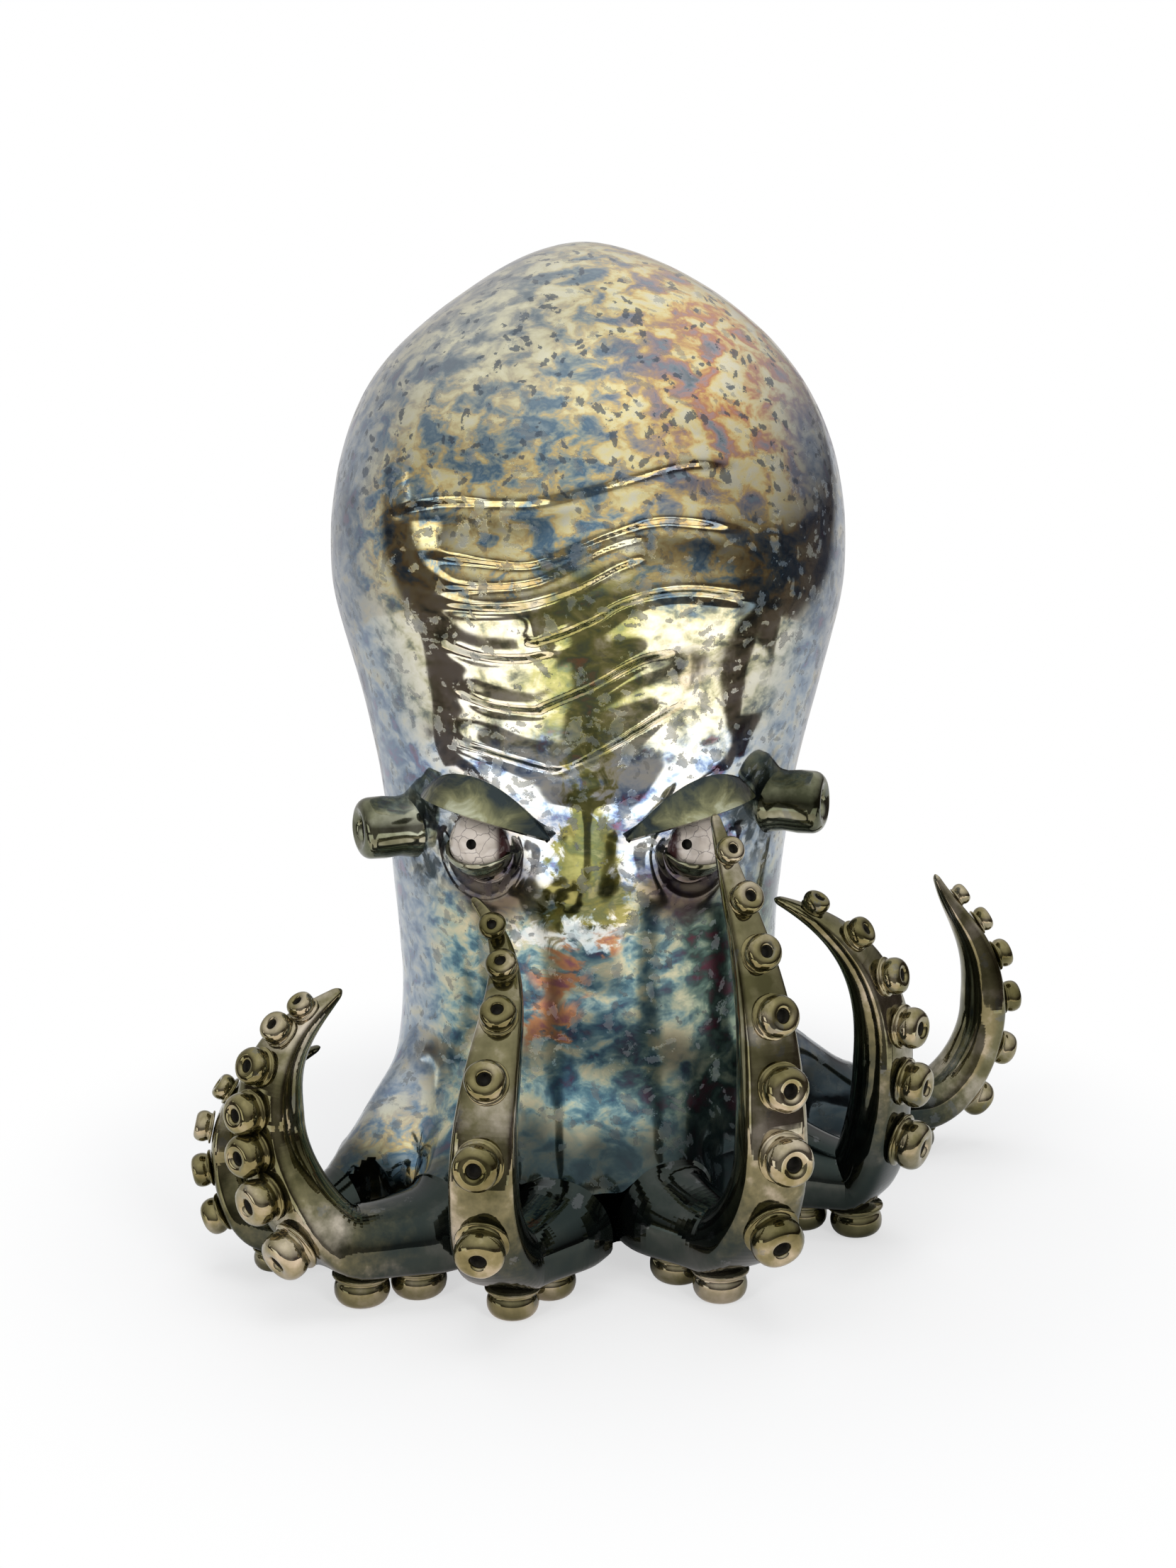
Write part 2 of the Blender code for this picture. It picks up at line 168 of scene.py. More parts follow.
# flakes: how far and how finely their cells are warped, how torn and how soft their edges are
flakeShape = dict(warp=0.020, warpScale=0.16, warpDetail=2.0, torn=0.9, tornScale=3.0, tornNoise=(3.0, 0.7),
                  soft=0.07)


class Glaze:
    def __init__(self, name, owner=None):
        self.owner = owner or bpy.data.materials.new(name)
        self.owner.use_nodes = True
        self.tree = self.owner.node_tree
        self.shader = self.tree.nodes.get("Principled BSDF")

    def node(self, kind, settings=None, inputs=None, output=0):
        made = self.tree.nodes.new("ShaderNode" + kind)
        for key, value in (settings or {}).items():
            if key == "stops":
                ramp = made.color_ramp
                while len(ramp.elements) < len(value):
                    ramp.elements.new(1.0)
                for element, (place, colour) in zip(ramp.elements, value):
                    element.position = place
                    element.color = (*colour, 1.0)
            else:
                setattr(made, key, value)
        for key, value in (inputs or {}).items():
            self.feed(made.inputs[key], value)
        return Wire(self, made.outputs[output])

    def feed(self, socket, value):
        if isinstance(value, Wire):
            self.tree.links.new(value.socket, socket)
        elif isinstance(value, tuple) and len(value) == 3 and socket.type == "RGBA":
            socket.default_value = (*value, 1.0)
        else:
            socket.default_value = value

    def place(self):
        coords = self.node("TexCoord", output="Object")
        return self.node("Mapping", None, {"Vector": coords, "Location": tuple(-axis)})

    def axes(self, vector):
        split = self.node("SeparateXYZ", None, {0: vector})
        return [Wire(self, output) for output in split.socket.node.outputs]

    def cloud(self, vector, scale, detail=4.0, rough=0.55, twist=0.0, output="Fac"):
        return self.node("TexNoise", None, {"Vector": vector, "Scale": scale, "Detail": detail,
                                            "Roughness": rough, "Distortion": twist}, output)

    def between(self, value, low, high, bottom=0.0, top=1.0):
        return self.node("MapRange", {"interpolation_type": "SMOOTHSTEP"},
                         {"Value": value, "From Min": low, "From Max": high, "To Min": bottom, "To Max": top})

    def blend(self, share, a, b):
        return self.node("Mix", {"data_type": "RGBA"}, {0: share, 6: a, 7: b}, 2)

    def colours(self, value, stops):
        return self.node("ValToRGB", {"stops": stops}, {0: value})

    def spot(self, vector, centre, radius, soft=1.0):
        # 1 inside a ball about a place, falling to 0 at its edge
        away = self.node("VectorMath", {"operation": "DISTANCE"}, {0: vector, 1: tuple(centre)}, "Value")
        return self.between(away, radius * (1 - soft), radius, 1.0, 0.0)

    def warped(self, vector, scale, detail, reach):
        push = self.cloud(vector, scale, detail, output="Color")
        return self.node("VectorMath", {"operation": "MULTIPLY_ADD"}, {0: push, 1: (reach,) * 3, 2: vector})

    def stretched(self, vector, scale, turn):
        return self.node("Mapping", None, {"Vector": vector, "Rotation": turn, "Scale": scale})

    def flecks(self, vector, scale, stretch, turn, size, share):
        # short torn flakes: stretched cells, only some of which are filled
        s = flakeShape
        moved = self.warped(vector, scale * s["warpScale"], s["warpDetail"], s["warp"])
        turned = self.stretched(moved, stretch, turn)
        cell = self.node("TexVoronoi", None, {"Vector": turned, "Scale": scale, "Randomness": 1.0})
        chosen = self.axes(Wire(self, cell.socket.node.outputs["Color"]))[0] > 1 - share
        torn = self.cloud(vector, scale * s["tornScale"], *s["tornNoise"])
        return self.between(cell + (torn - 0.5) * s["torn"], size, size - s["soft"]) * chosen

    def bump(self, height, distance, strength):
        return self.node("Bump", None, {"Height": height, "Distance": distance, "Strength": strength})

    def finish(self, **sockets):
        names = {"colour": "Base Color", "rough": "Roughness", "metal": "Metallic", "coat": "Coat Weight",
                 "coatRough": "Coat Roughness", "normal": "Normal"}
        for key, value in sockets.items():
            self.feed(self.shader.inputs[names[key]], value)
        return self.owner


# corner: distances from the axis where the painted shade on the eyeball's inner side begins and where it is
# whole
eyeShape = dict(azimuth=29.0, height=0.131, ball=0.0100, sink=0.001, pupil=0.0016, pupilDepth=0.003,
                pupilFloor=0.8, hollow=0.97, gaze=(-16.0, 8.0), shadedCorner=(0.0285, 0.0262), rings=28, turns=48)
# bowl: shares of the hole's radius, depths below the end; stem: shares of the radius, heights above the seat
siphonShape = dict(
    radius=0.0098, length=0.0160, edge=0.0036, edgeSteps=8, hole=0.0034, lip=0.003, turn=8.0, turns=44,
    grain=90, grainDepth=0.0004, places={"left": (-58.0, 0.132), "right": (60.0, 0.140)},
    bowl=((0, 0.009), (0.8, 0.009), (1, 0.004), (1, 0.0022), (1.12, 0.0012), (1.3, 0.0006), (1.5, 0.0005)),
    stem=((1.015, 0.008), (0.98, 0.00352), (1.04, 0), (1.15, -0.004), (0.9, -0.009), (0, -0.009)),
)

# the lustre's colours in each part of the body, from bare ground to the middle of a blotch
lustreColours = dict(
    front=[(0.33, (0.66, 0.65, 0.50)), (0.43, (0.74, 0.66, 0.34)), (0.50, (0.60, 0.46, 0.20)),
           (0.56, (0.30, 0.36, 0.33)), (0.64, (0.09, 0.17, 0.25)), (0.74, (0.26, 0.34, 0.37))],
    upperLeft=[(0.34, (0.62, 0.60, 0.44)), (0.44, (0.50, 0.49, 0.38)), (0.52, (0.33, 0.34, 0.31)),
               (0.60, (0.22, 0.245, 0.25)), (0.70, (0.14, 0.17, 0.19))],
    upperRight=[(0.34, (0.74, 0.70, 0.52)), (0.44, (0.76, 0.64, 0.32)), (0.50, (0.68, 0.44, 0.18)),
                (0.56, (0.54, 0.23, 0.12)), (0.61, (0.52, 0.31, 0.27)), (0.68, (0.30, 0.31, 0.33)),
                (0.76, (0.12, 0.16, 0.20))],
    forehead=[(0.36, (0.80, 0.76, 0.62)), (0.47, (0.72, 0.67, 0.48)), (0.54, (0.50, 0.47, 0.29)),
              (0.60, (0.25, 0.25, 0.16)), (0.69, (0.09, 0.09, 0.07))],
    ridge=[(0.36, (0.70, 0.65, 0.40)), (0.46, (0.44, 0.41, 0.16)), (0.55, (0.29, 0.29, 0.10)),
           (0.64, (0.17, 0.20, 0.11)), (0.74, (0.34, 0.19, 0.10))],
    brow=[(0.36, (0.80, 0.80, 0.72)), (0.47, (0.66, 0.71, 0.74)), (0.53, (0.40, 0.50, 0.62)),
          (0.59, (0.17, 0.24, 0.40)), (0.66, (0.26, 0.13, 0.20)), (0.73, (0.06, 0.03, 0.03))],
    bridge=[(0.36, (0.30, 0.29, 0.10)), (0.48, (0.19, 0.19, 0.06)), (0.58, (0.12, 0.14, 0.06)),
            (0.68, (0.26, 0.26, 0.12))],
    flank=[(0.32, (0.48, 0.47, 0.39)), (0.42, (0.40, 0.44, 0.45)), (0.52, (0.28, 0.34, 0.40)),
           (0.62, (0.17, 0.23, 0.31)), (0.72, (0.23, 0.20, 0.28))],
    lower=[(0.35, (0.58, 0.54, 0.36)), (0.44, (0.43, 0.47, 0.35)), (0.50, (0.25, 0.37, 0.36)),
           (0.57, (0.10, 0.20, 0.24)), (0.65, (0.045, 0.10, 0.15)), (0.73, (0.07, 0.05, 0.09))],
    # lip: a pale band under the nose, a painted highlight
    lip=[(0.40, (0.82, 0.82, 0.76)), (0.55, (0.66, 0.76, 0.76)), (0.68, (0.36, 0.50, 0.56))],
    lowerRight=[(0.34, (0.24, 0.30, 0.22)), (0.46, (0.07, 0.12, 0.10)), (0.56, (0.025, 0.045, 0.04)),
                (0.68, (0.06, 0.02, 0.03))],
)
fleckGrey = (0.13, 0.14, 0.145)
speckBlue = (0.075, 0.095, 0.12)
sootTeal = (0.016, 0.026, 0.028)
# maroon painted shade, for the hollows under the eyes and the eyeballs' inner corners
maroonShade = (0.035, 0.014, 0.014)
flames = ((-6, 0.094, 0.017), (-10, 0.073, 0.015), (3, 0.102, 0.010))  # azimuth, height, radius
# orange, then rose: the colour, and from which heat and which glow it comes in
flameTones = (((0.52, 0.26, 0.12), (0.15, 0.45), (0.0, 0.4)), ((0.30, 0.12, 0.16), (0.40, 0.80), (0.1, 0.5)))
# what bounds each zone, where the zone begins and where it is whole
lustreZones = dict(
    upperLeft=(("z", 0.235, 0.285), ("x", 0.025, -0.030)),
    upperRight=(("z", 0.215, 0.265), ("x", -0.005, 0.045)),
    forehead=(("tornZ", 0.214, 0.196), ("z", 0.110, 0.128)),
    ridge=(("tornAside", 0.022, 0.010), ("tornZ", 0.222, 0.206), ("z", 0.102, 0.108)),
    brow=(("tornZ", 0.172, 0.154), ("tornZ", 0.112, 0.126), ("tornAside", 0.003, 0.008)),
    bridge=(("bridgeSide", 0.0435, 0.0395), ("tornZ", 0.104, 0.109)),
    flank=(("y", -0.066, -0.040), ("z", 0.295, 0.245)),
    lower=(("z", 0.124, 0.104), ("y", -0.010, -0.045), ("aside", 0.056, 0.040)),
    lowerRight=(("z", 0.125, 0.105), ("patchyX", 0.012, 0.036), ("y", 0.0, -0.03)),
    # the lip's painted highlight: a narrow band under the nose, in front
    lip=(("tornZ", 0.098, 0.102), ("tornZ", 0.109, 0.106), ("tornX", -0.027, -0.020), ("tornX", 0.014, 0.008),
         ("y", -0.02, -0.04)),
)
# noises: scale, detail, roughness, twist; chips, scraps and specks: scale, stretch, turn, size, filled share
lustreShape = dict(
    drawn=((1.0, 1.0, 1.5), (0.0, 0.30, 0.0)), patch=(24.0, 3.0, 0.5), mottle=(150.0, 4.0, 0.62, 0.8),
    blotch=(110.0, 4.0, 0.56, 0.35), lick=(70.0, 4.0, 0.6, 0.8), wave=(60.0, 2.0, 0.5),
    patchShare=0.40, mottleShare=0.13, rag=0.03, drift=0.08, bridgeTaper=0.25,
    flameReach=0.066, flameGlow=0.5, flameLick=3.0,
    chips=(170.0, (1.0, 1.0, 0.6), (0.5, 0.3, 0.9), 0.36, 0.30),
    scraps=(330.0, (0.5, 1.0, 1.0), (0.2, 1.1, 0.4), 0.38, 0.32),
    specks=(300.0, (1.0, 0.6, 1.0), (1.1, 0.4, 0.2), 0.40, 0.34),
    flakeGrey=0.55, speckRise=(0.20, 0.25, 0.25, 0.8), waveHigh=0.5, flakeDip=0.12, bump=(0.0008, 0.25),
    rough=0.07, flakeRough=0.20, lowerRough=0.12, noseRough=0.10, mottleRough=(0.45, 0.7, 0.0, 0.05),
    noseReach=0.075, noseHeight=0.122, noseRadius=0.020,
    metal=0.96, flakeMetal=0.30, lowerMetal=0.12, lipHighlightMetal=0.45,
)
# soot at the foot and on the flare, a collar round each siphon, and maroon painted shade in the hollow under
# each eye
sootAndShadeShape = dict(
    paler=(-0.030, -0.060, 0.0, 0.018), foot=(0.058, 0.034), footRag=0.05, flare=(0.084, 0.100),
    flareRag=0.03, most=0.92, reach=0.068, collarTurn=9, collarDrop=0.002, collar=(0.024, 0.6),
    collarMottle=(0.35, 0.6), socketShadeTurn=3, socketShadeDrop=0.011, socket=(0.020, 0.55), socketShadeShare=0.85,
)


def lustreGlaze():
    s, black = lustreShape, sootAndShadeShape
    g = Glaze("lustreGlaze")
    at = g.place()
    x, y, z = g.axes(at)
    aside = abs(x)
    drawn = g.stretched(at, *s["drawn"])
    patch = g.cloud(at, *s["patch"]) - 0.5
    mottle = g.cloud(at, *s["mottle"])
    blotch = g.cloud(drawn, *s["blotch"]) + patch * s["patchShare"] + (mottle - 0.5) * s["mottleShare"]
    rag = (mottle - 0.5) * s["rag"]
    bounds = dict(x=x, y=y, z=z, aside=aside, tornX=x + rag, tornZ=z + rag, tornAside=aside + rag,
                  bridgeSide=aside + rag + z * s["bridgeTaper"], patchyX=x + patch * s["drift"])
    zones = {}
    for zone, edges in lustreZones.items():
        shares = [g.between(bounds[bound], start, whole) for bound, start, whole in edges]
        if zone in ("lower", "lip"):
            shares.append(1 - zones["bridge"])
        zones[zone] = prod(shares[1:], start=shares[0])
    colour = g.colours(blotch, lustreColours["front"])
    for zone, share in zones.items():
        colour = g.blend(share, colour, g.colours(blotch, lustreColours[zone]))
    lick = (g.cloud(drawn, *s["lick"]) - 0.5) * s["flameLick"]
    for azimuth, height, radius in flames:
        glow = g.spot(at, polar(azimuth, s["flameReach"], height), radius)
        heat = glow * s["flameGlow"] + lick
        for tone, hot, near in flameTones:
            colour = g.blend(g.between(heat, *hot) * g.between(glow, *near), colour, tone)
    chips, scraps, specks = (g.flecks(at, *s[kind]) for kind in ("chips", "scraps", "specks"))
    flake = chips.atLeast(scraps)
    colour = g.blend(flake * s["flakeGrey"], colour, fleckGrey)
    colour = g.blend(specks * g.between(z, *s["speckRise"]), colour, speckBlue)
    paler = g.between(x, *black["paler"])
    soot = g.between(z + paler + patch * black["footRag"], *black["foot"])
    soot = soot + g.between(fromAxis(x, y) + patch * black["flareRag"], *black["flare"])
    socket = 0.0
    for side, sign in bothSides:
        azimuth, height = siphonShape["places"][side]
        place = polar(azimuth - sign * black["collarTurn"], black["reach"], height - black["collarDrop"])
        soot = soot + g.spot(at, place, *black["collar"]) * g.between(mottle, *black["collarMottle"])
        # painted shade: a maroon spot darkens the hollow under each eye
        azimuth, height = sign * (eyeShape["azimuth"] - black["socketShadeTurn"]), eyeShape["height"]
        place = polar(azimuth, black["reach"], height - black["socketShadeDrop"])
        socket = g.spot(at, place, *black["socket"]) + socket
    colour = g.blend(socket * black["socketShadeShare"], colour, maroonShade)
    soot = soot.atMost(black["most"])
    colour = g.blend(soot, colour, sootTeal)
    nose = g.spot(at, polar(0, s["noseReach"], s["noseHeight"]), s["noseRadius"])
    rough = s["rough"] + flake * s["flakeRough"] + zones["lower"] * (1 - soot) * s["lowerRough"]
    rough = rough + nose * s["noseRough"] + g.between(mottle, *s["mottleRough"])
    height = g.cloud(at, *s["wave"]) * s["waveHigh"] - flake * s["flakeDip"]
    metal = s["metal"] - flake * s["flakeMetal"] - zones["lower"] * s["lowerMetal"]
    # painted highlight: the lip band is made half matt so that its pale colour shows bright
    metal = metal - zones["lip"] * s["lipHighlightMetal"]
    return g.finish(colour=colour, rough=rough, metal=metal, normal=g.bump(height, *s["bump"]))


bronzeShape = dict(
    cloudy=(55.0, 2.0, 0.5, 0.3), fine=(260.0, 3.0, 0.6), fineShare=0.25, stops=(0.34, 0.50, 0.68),
    rootSlope=0.5, rootRag=0.02, root=(0.156, 0.124), rootTop=(0.085, 0.060), metal=0.96, bump=(0.0008, 0.25),
    chips=(190.0, (1.0, 1.0, 0.6), (0.9, 0.2, 0.4), 0.34, 0.18), chipGrey=0.4, fineRough=0.06,
)


def bronzeGlaze(name, tones, roughness, sooty=0.92):
    # dark, middle and bright tones in clouds, with soot at the arms' roots
    s = bronzeShape
    g = Glaze(name)
    at = g.place()
    x, y, z = g.axes(at)
    cloudy = g.cloud(at, *s["cloudy"])
    fine = g.cloud(at, *s["fine"])
    shade = cloudy * (1 - s["fineShare"]) + fine * s["fineShare"]
    colour = g.colours(shade, list(zip(s["stops"], tones)))
    root = g.between(fromAxis(x, y) + z * s["rootSlope"] + (fine - 0.5) * s["rootRag"], *s["root"])
    colour = g.blend(root * g.between(z, *s["rootTop"]) * sooty, colour, sootTeal)
    colour = g.blend(g.flecks(at, *s["chips"]) * s["chipGrey"], colour, fleckGrey)
    rough = roughness + fine * s["fineRough"]
    return g.finish(colour=colour, rough=rough, metal=s["metal"], normal=g.bump(cloudy, *s["bump"]))


lidTone = dict(
    cloudy=(110.0, 4.0, 0.6, 0.8), out=(0.0715, 0.0815), outShare=0.62, cloudyShare=1.3, ground=0.12,
    stops=[(0.08, (0.03, 0.04, 0.042)), (0.36, (0.10, 0.105, 0.062)), (0.60, (0.22, 0.22, 0.12)),
           (0.88, (0.44, 0.46, 0.33))],
    rough=0.07, metal=0.96, bump=(0.0010, 0.35),
)


def lidGlaze():
    # dark where the lid leaves the brow, paler towards its rim
    s = lidTone
    g = Glaze("leafGreenGlaze")
    at = g.place()
    x, y, z = g.axes(at)
    cloudy = g.cloud(at, *s["cloudy"])
    shade = g.between(fromAxis(x, y), *s["out"]) * s["outShare"] + (cloudy - 0.5) * s["cloudyShare"]
    return g.finish(colour=g.colours(shade + s["ground"], s["stops"]), rough=s["rough"], metal=s["metal"],
                    normal=g.bump(cloudy, *s["bump"]))


eyeTone = dict(
    warp=(300.0, 3.0, 0.002), cells=230.0, crack=(0.035, 0.0), crackShare=0.75,
    crackColour=(0.10, 0.09, 0.09), stain=(120.0, 4.0), stainEdge=(0.45, 0.75),
    clean=(0.46, 0.405, 0.35), stained=(0.30, 0.26, 0.225), rough=0.16, coat=0.6, coatRough=0.06,
    bump=(0.0003, 0.4),
)


def eyeGlaze():
    # crackled white, with maroon painted shade towards the inner corner, where the lids shade the ball
    s = eyeTone
    g = Glaze("crackleWhite")
    at = g.place()
    edge = g.node("TexVoronoi", {"feature": "DISTANCE_TO_EDGE"},
                  {"Vector": g.warped(at, *s["warp"]), "Scale": s["cells"]})
    crack = g.between(edge, *s["crack"])
    colour = g.blend(g.between(g.cloud(at, *s["stain"]), *s["stainEdge"]), s["clean"], s["stained"])
    colour = g.blend(crack * s["crackShare"], colour, s["crackColour"])
    # painted shade: the eyeball turns maroon towards the inner corner
    inner = g.between(abs(g.axes(at)[0]), *eyeShape["shadedCorner"])
    colour = g.blend(inner, colour, maroonShade)
    return g.finish(colour=colour, rough=s["rough"], metal=0.0, coat=s["coat"], coatRough=s["coatRough"],
                    normal=g.bump(1 - crack, *s["bump"]))


# near-black painted shade inside the suckers' and siphons' holes and in the pupils' pits
holeTone = dict(grit=(500.0, 4.0), rough=0.7,
                stops=[(0.3, (0.006, 0.005, 0.004)), (0.7, (0.02, 0.018, 0.012))])


def holeGlaze():
    g = Glaze("holeShade")
    grit = g.cloud(g.place(), *holeTone["grit"])
    return g.finish(colour=g.colours(grit, holeTone["stops"]), rough=holeTone["rough"])


print("glazes")
lustre = lustreGlaze()
bronze = bronzeGlaze("bronzeGlaze", ((0.08, 0.075, 0.032), (0.175, 0.16, 0.085), (0.50, 0.45, 0.36)), 0.02)
gold = bronzeGlaze("goldGlaze", ((0.09, 0.08, 0.03), (0.21, 0.185, 0.088), (0.48, 0.42, 0.31)), 0.02, 0.3)
olive = bronzeGlaze("oliveGlaze", ((0.05, 0.054, 0.030), (0.16, 0.165, 0.105), (0.40, 0.41, 0.32)), 0.06)
leafGreen = lidGlaze()
white = eyeGlaze()
dark = holeGlaze()


# arms: a lobe at the hem, a level foot, a belly that bulges out and a tip that leans in

armShape = dict(
    hem=0.078, rootIn=0.046, rootHeight=0.037, rootDepth=0.036, rootFall=30.0, crease=0.0005, widestLobe=16.0,
    footWidth=0.025, footDepth=0.020, bellyWidth=0.0205, bellyDepth=0.0165, tipWidth=0.0026, tipDepth=0.0022,
    tipBare=0.012, tipTaper=1.4, tipRound=0.0020, tipEnd=0.97, tipRings=(0.4, 0.7, 0.9, 1.0),
    tipStiffness=0.7, roundness=0.5, lobeHold=0.2, gap=0.0003, split=0.86, ridge=0.10, ridgeOver=0.02,
    ridgePower=3, ridgeDip=0.55, sideSquare=0.80, flatSquare=0.45, sides=36, steps=110, points=60,
)
# bowl: shares of the hole's radius and of the height; foot: how far inside the foot ring, share of the height
suckerShape = dict(
    fuller=1.16, spread=(0.97, 1.03), footRadius=0.0072, footHeight=0.0088, tipRadius=0.0037,
    tipHeight=0.0046, space=0.0022, steps=28, wobble=4.0, grounded=2, hole=0.31, holeFloor=0.3,
    rim=0.56, rimTurn=(118, -40), rimSteps=16, square=0.95, ringLeast=0.95, ringMost=1.08,
    grain=160, grainDepth=0.00022,
    bowl=((0.0, 0.38), (0.8, 0.40), (0.95, 0.62), (1.0, 0.84)), waist=(0.90, 0.06), base=(0.0, -0.10),
    foot=((0.06, 0.045), (0.01, 0.02), (0.0, -0.02), (0.02, -0.08)),
)
# root, heading and facing azimuths, foot, belly and tip places past the hem, rise, curl, girth, suckers
arms = {
    "left_front": (-35, -72, -38, (-35, 0.038), (-47, 0.050, 0.055), (-44, 0.028, 0.090), 40, -40, 1.0, 9),
    "left": (-63, -68, -82, (-53, 0.043), (-58, 0.052, 0.037), (-55, 0.024, 0.066), 30, -30, 0.75, 8),
    "front_left": (-8, -40, -8, (-12, 0.027), (-14, 0.042, 0.046), (-26, 0.001, 0.117), 48, 90, 0.95, 8),
    "front_right": (25, 45, 22, (23, 0.022), (26, 0.040, 0.051), (25, 0.009, 0.144), 72, 25, 1.0, 9),
    "right_front": (57, 72, 54, (61, 0.020), (60, 0.029, 0.060), (48, 0.000, 0.112), 12, 0, 1.0, 8),
    "right": (100, 101, 98, (101, 0.043), (101, 0.068, 0.052), (101, 0.048, 0.102), 66, 0, 0.9, 8),
    "back_right": (153, 153, 152, (153, 0.026), (152, 0.042, 0.050), (150, 0.010, 0.092), 45, 0, 0.9, 7),
    "back_left": (-149, -150, -150, (-150, 0.026), (-151, 0.040, 0.048), (-150, 0.012, 0.082), 40, 0, 0.9, 7),
}


class Limb:
    def __init__(self, name):
        s = armShape
        self.root, heading, self.facing, foot, belly, tip, rise, curl, self.girth, self.count = arms[name]
        radius = suckerShape["footRadius"] * self.girth
        ground = suckerShape["footHeight"] * self.girth + s["gap"] + s["footDepth"] * self.girth / 2
        start = polar(self.root, s["rootIn"], s["rootHeight"])
        footAt = polar(foot[0], s["hem"] + foot[1], ground)
        bellyAt = polar(belly[0], s["hem"] + belly[1], belly[2])
        tipAt = polar(tip[0], s["hem"] + tip[1], tip[2])
        ahead = polar(heading, 1)
        heelAt = footAt - ahead * (2 * radius + suckerShape["space"])
        fall = radians(s["rootFall"])
        down = (heelAt - start).xy.normalized().to_3d() * cos(fall) - up * sin(fall)
        climb = radians(rise)
        ending = polar(self.facing + 180 + curl, 1) * cos(climb) + up * sin(climb)
        third = (heelAt - start).length / 3
        bulge = s["roundness"] * (bellyAt.xy - footAt.xy).length
        lift = s["roundness"] * (bellyAt.z - footAt.z)
        sweep = s["roundness"] * (tipAt - bellyAt).length
        spans = (
            (start, start + down * third, heelAt - ahead * third, heelAt),
            (heelAt, heelAt.lerp(footAt, 1 / 3), heelAt.lerp(footAt, 2 / 3), footAt),
            (footAt, footAt + ahead * bulge, bellyAt - up * lift, bellyAt),
            (bellyAt, bellyAt + up * sweep, tipAt - ending * sweep * s["tipStiffness"], tipAt),
        )
        self.points = [start]
        self.ends = []
        for span in spans:
            self.points += interpolate_bezier(*span, s["points"])[1:]
            self.ends.append(len(self.points) - 1)
        self.lengths = [0.0]
        for a, b in zip(self.points, self.points[1:]):
            self.lengths.append(self.lengths[-1] + (b - a).length)
        self.ends = [self.lengths[i] for i in self.ends]
        self.cut = self.ends[0] * s["split"]  # up to here the arm is part of the body's skin

    def at(self, length):
        low = max(i for i, value in enumerate(self.lengths) if value <= length or i == 0)
        low = min(low, len(self.points) - 2)
        share = min(max((length - self.lengths[low]) / (self.lengths[low + 1] - self.lengths[low]), 0), 1)
        before = self.points[max(low - 1, 0)]
        after = self.points[min(low + 2, len(self.points) - 1)]
        way = (after - before).normalized()
        flat = up.cross(polar(self.facing, 1)).cross(way).normalized()
        return self.points[low].lerp(self.points[low + 1], share), way, flat, way.cross(flat)

    def sizes(self, length):
        # half widths to the two sides, depth to the flat side and to the round side
        s = armShape
        foot, belly, tip = self.ends[1:]
        if length < foot:
            share = ease((length / foot - s["lobeHold"]) / (1 - s["lobeHold"]))
            reach = self.at(length)[0].xy.length
            lobe = [reach * tan(radians(room)) - s["crease"] / 2 for room in self.rooms()]
            sides = [mix(side, s["footWidth"] * self.girth / 2, share) for side in lobe]
            flat = s["footDepth"] * self.girth / 2
            return sides[0], sides[1], flat, mix(s["rootDepth"] - flat, flat, share)
        if length < belly:
            share, start, end = ease((length - foot) / (belly - foot)), "foot", "belly"
        else:
            share, start, end = min((length - belly) / (tip - belly), 1) ** s["tipTaper"], "belly", "tip"
        past = min(max((length - tip) / s["tipRound"] + 1, 0), s["tipEnd"])
        wide, deep = (mix(s[start + size], s[end + size], share) * sqrt(1 - past * past)
                      for size in ("Width", "Depth"))
        return (wide * self.girth / 2,) * 2 + (deep * self.girth / 2,) * 2

    def rooms(self):
        # angles from this root to the creases beside it
        roots = sorted(row[0] for row in arms.values())
        place = roots.index(self.root)
        before = (roots[place] - roots[place - 1]) % 360 / 2
        after = (roots[(place + 1) % len(roots)] - roots[place]) % 360 / 2
        return min(before, armShape["widestLobe"]), min(after, armShape["widestLobe"])

    def section(self, length, ridge):
        # a D: flat with a raised edge on the sucker side, round behind
        s = armShape
        point, way, flat, across = self.at(length)
        right, left, outer, inner = self.sizes(length)
        ring = []
        for i in range(s["sides"]):
            turn = tau * i / s["sides"]
            x, y = sin(turn), cos(turn)
            x = copysign(abs(x) ** s["sideSquare"], x)
            if y > 0:
                y = y ** s["flatSquare"] * (1 + ridge * (abs(x) ** s["ridgePower"] - s["ridgeDip"]))
            aside, away = left if x > 0 else right, outer if y > 0 else inner
            ring.append(point + across * x * aside + flat * y * away)
        return ring

    def suckers(self):
        # length along the arm, radius and height of each sucker
        s = suckerShape
        sizes = []
        for i in range(self.count):
            share = max(i - 1, 0) / (self.count - 2)
            sizes.append((mix(s["footRadius"], s["tipRadius"], share) * self.girth,
                          mix(s["footHeight"], s["tipHeight"], share) * self.girth))
        steps = [a[0] + b[0] for a, b in zip(sizes[1:], sizes[2:])]
        room = (self.ends[3] - armShape["tipBare"] - self.ends[1] - sum(steps)) / len(steps)
        lengths = [self.ends[0], self.ends[1]]
        for step in steps:
            lengths.append(lengths[-1] + step + room)
        return [(length, *size) for length, size in zip(lengths, sizes)]


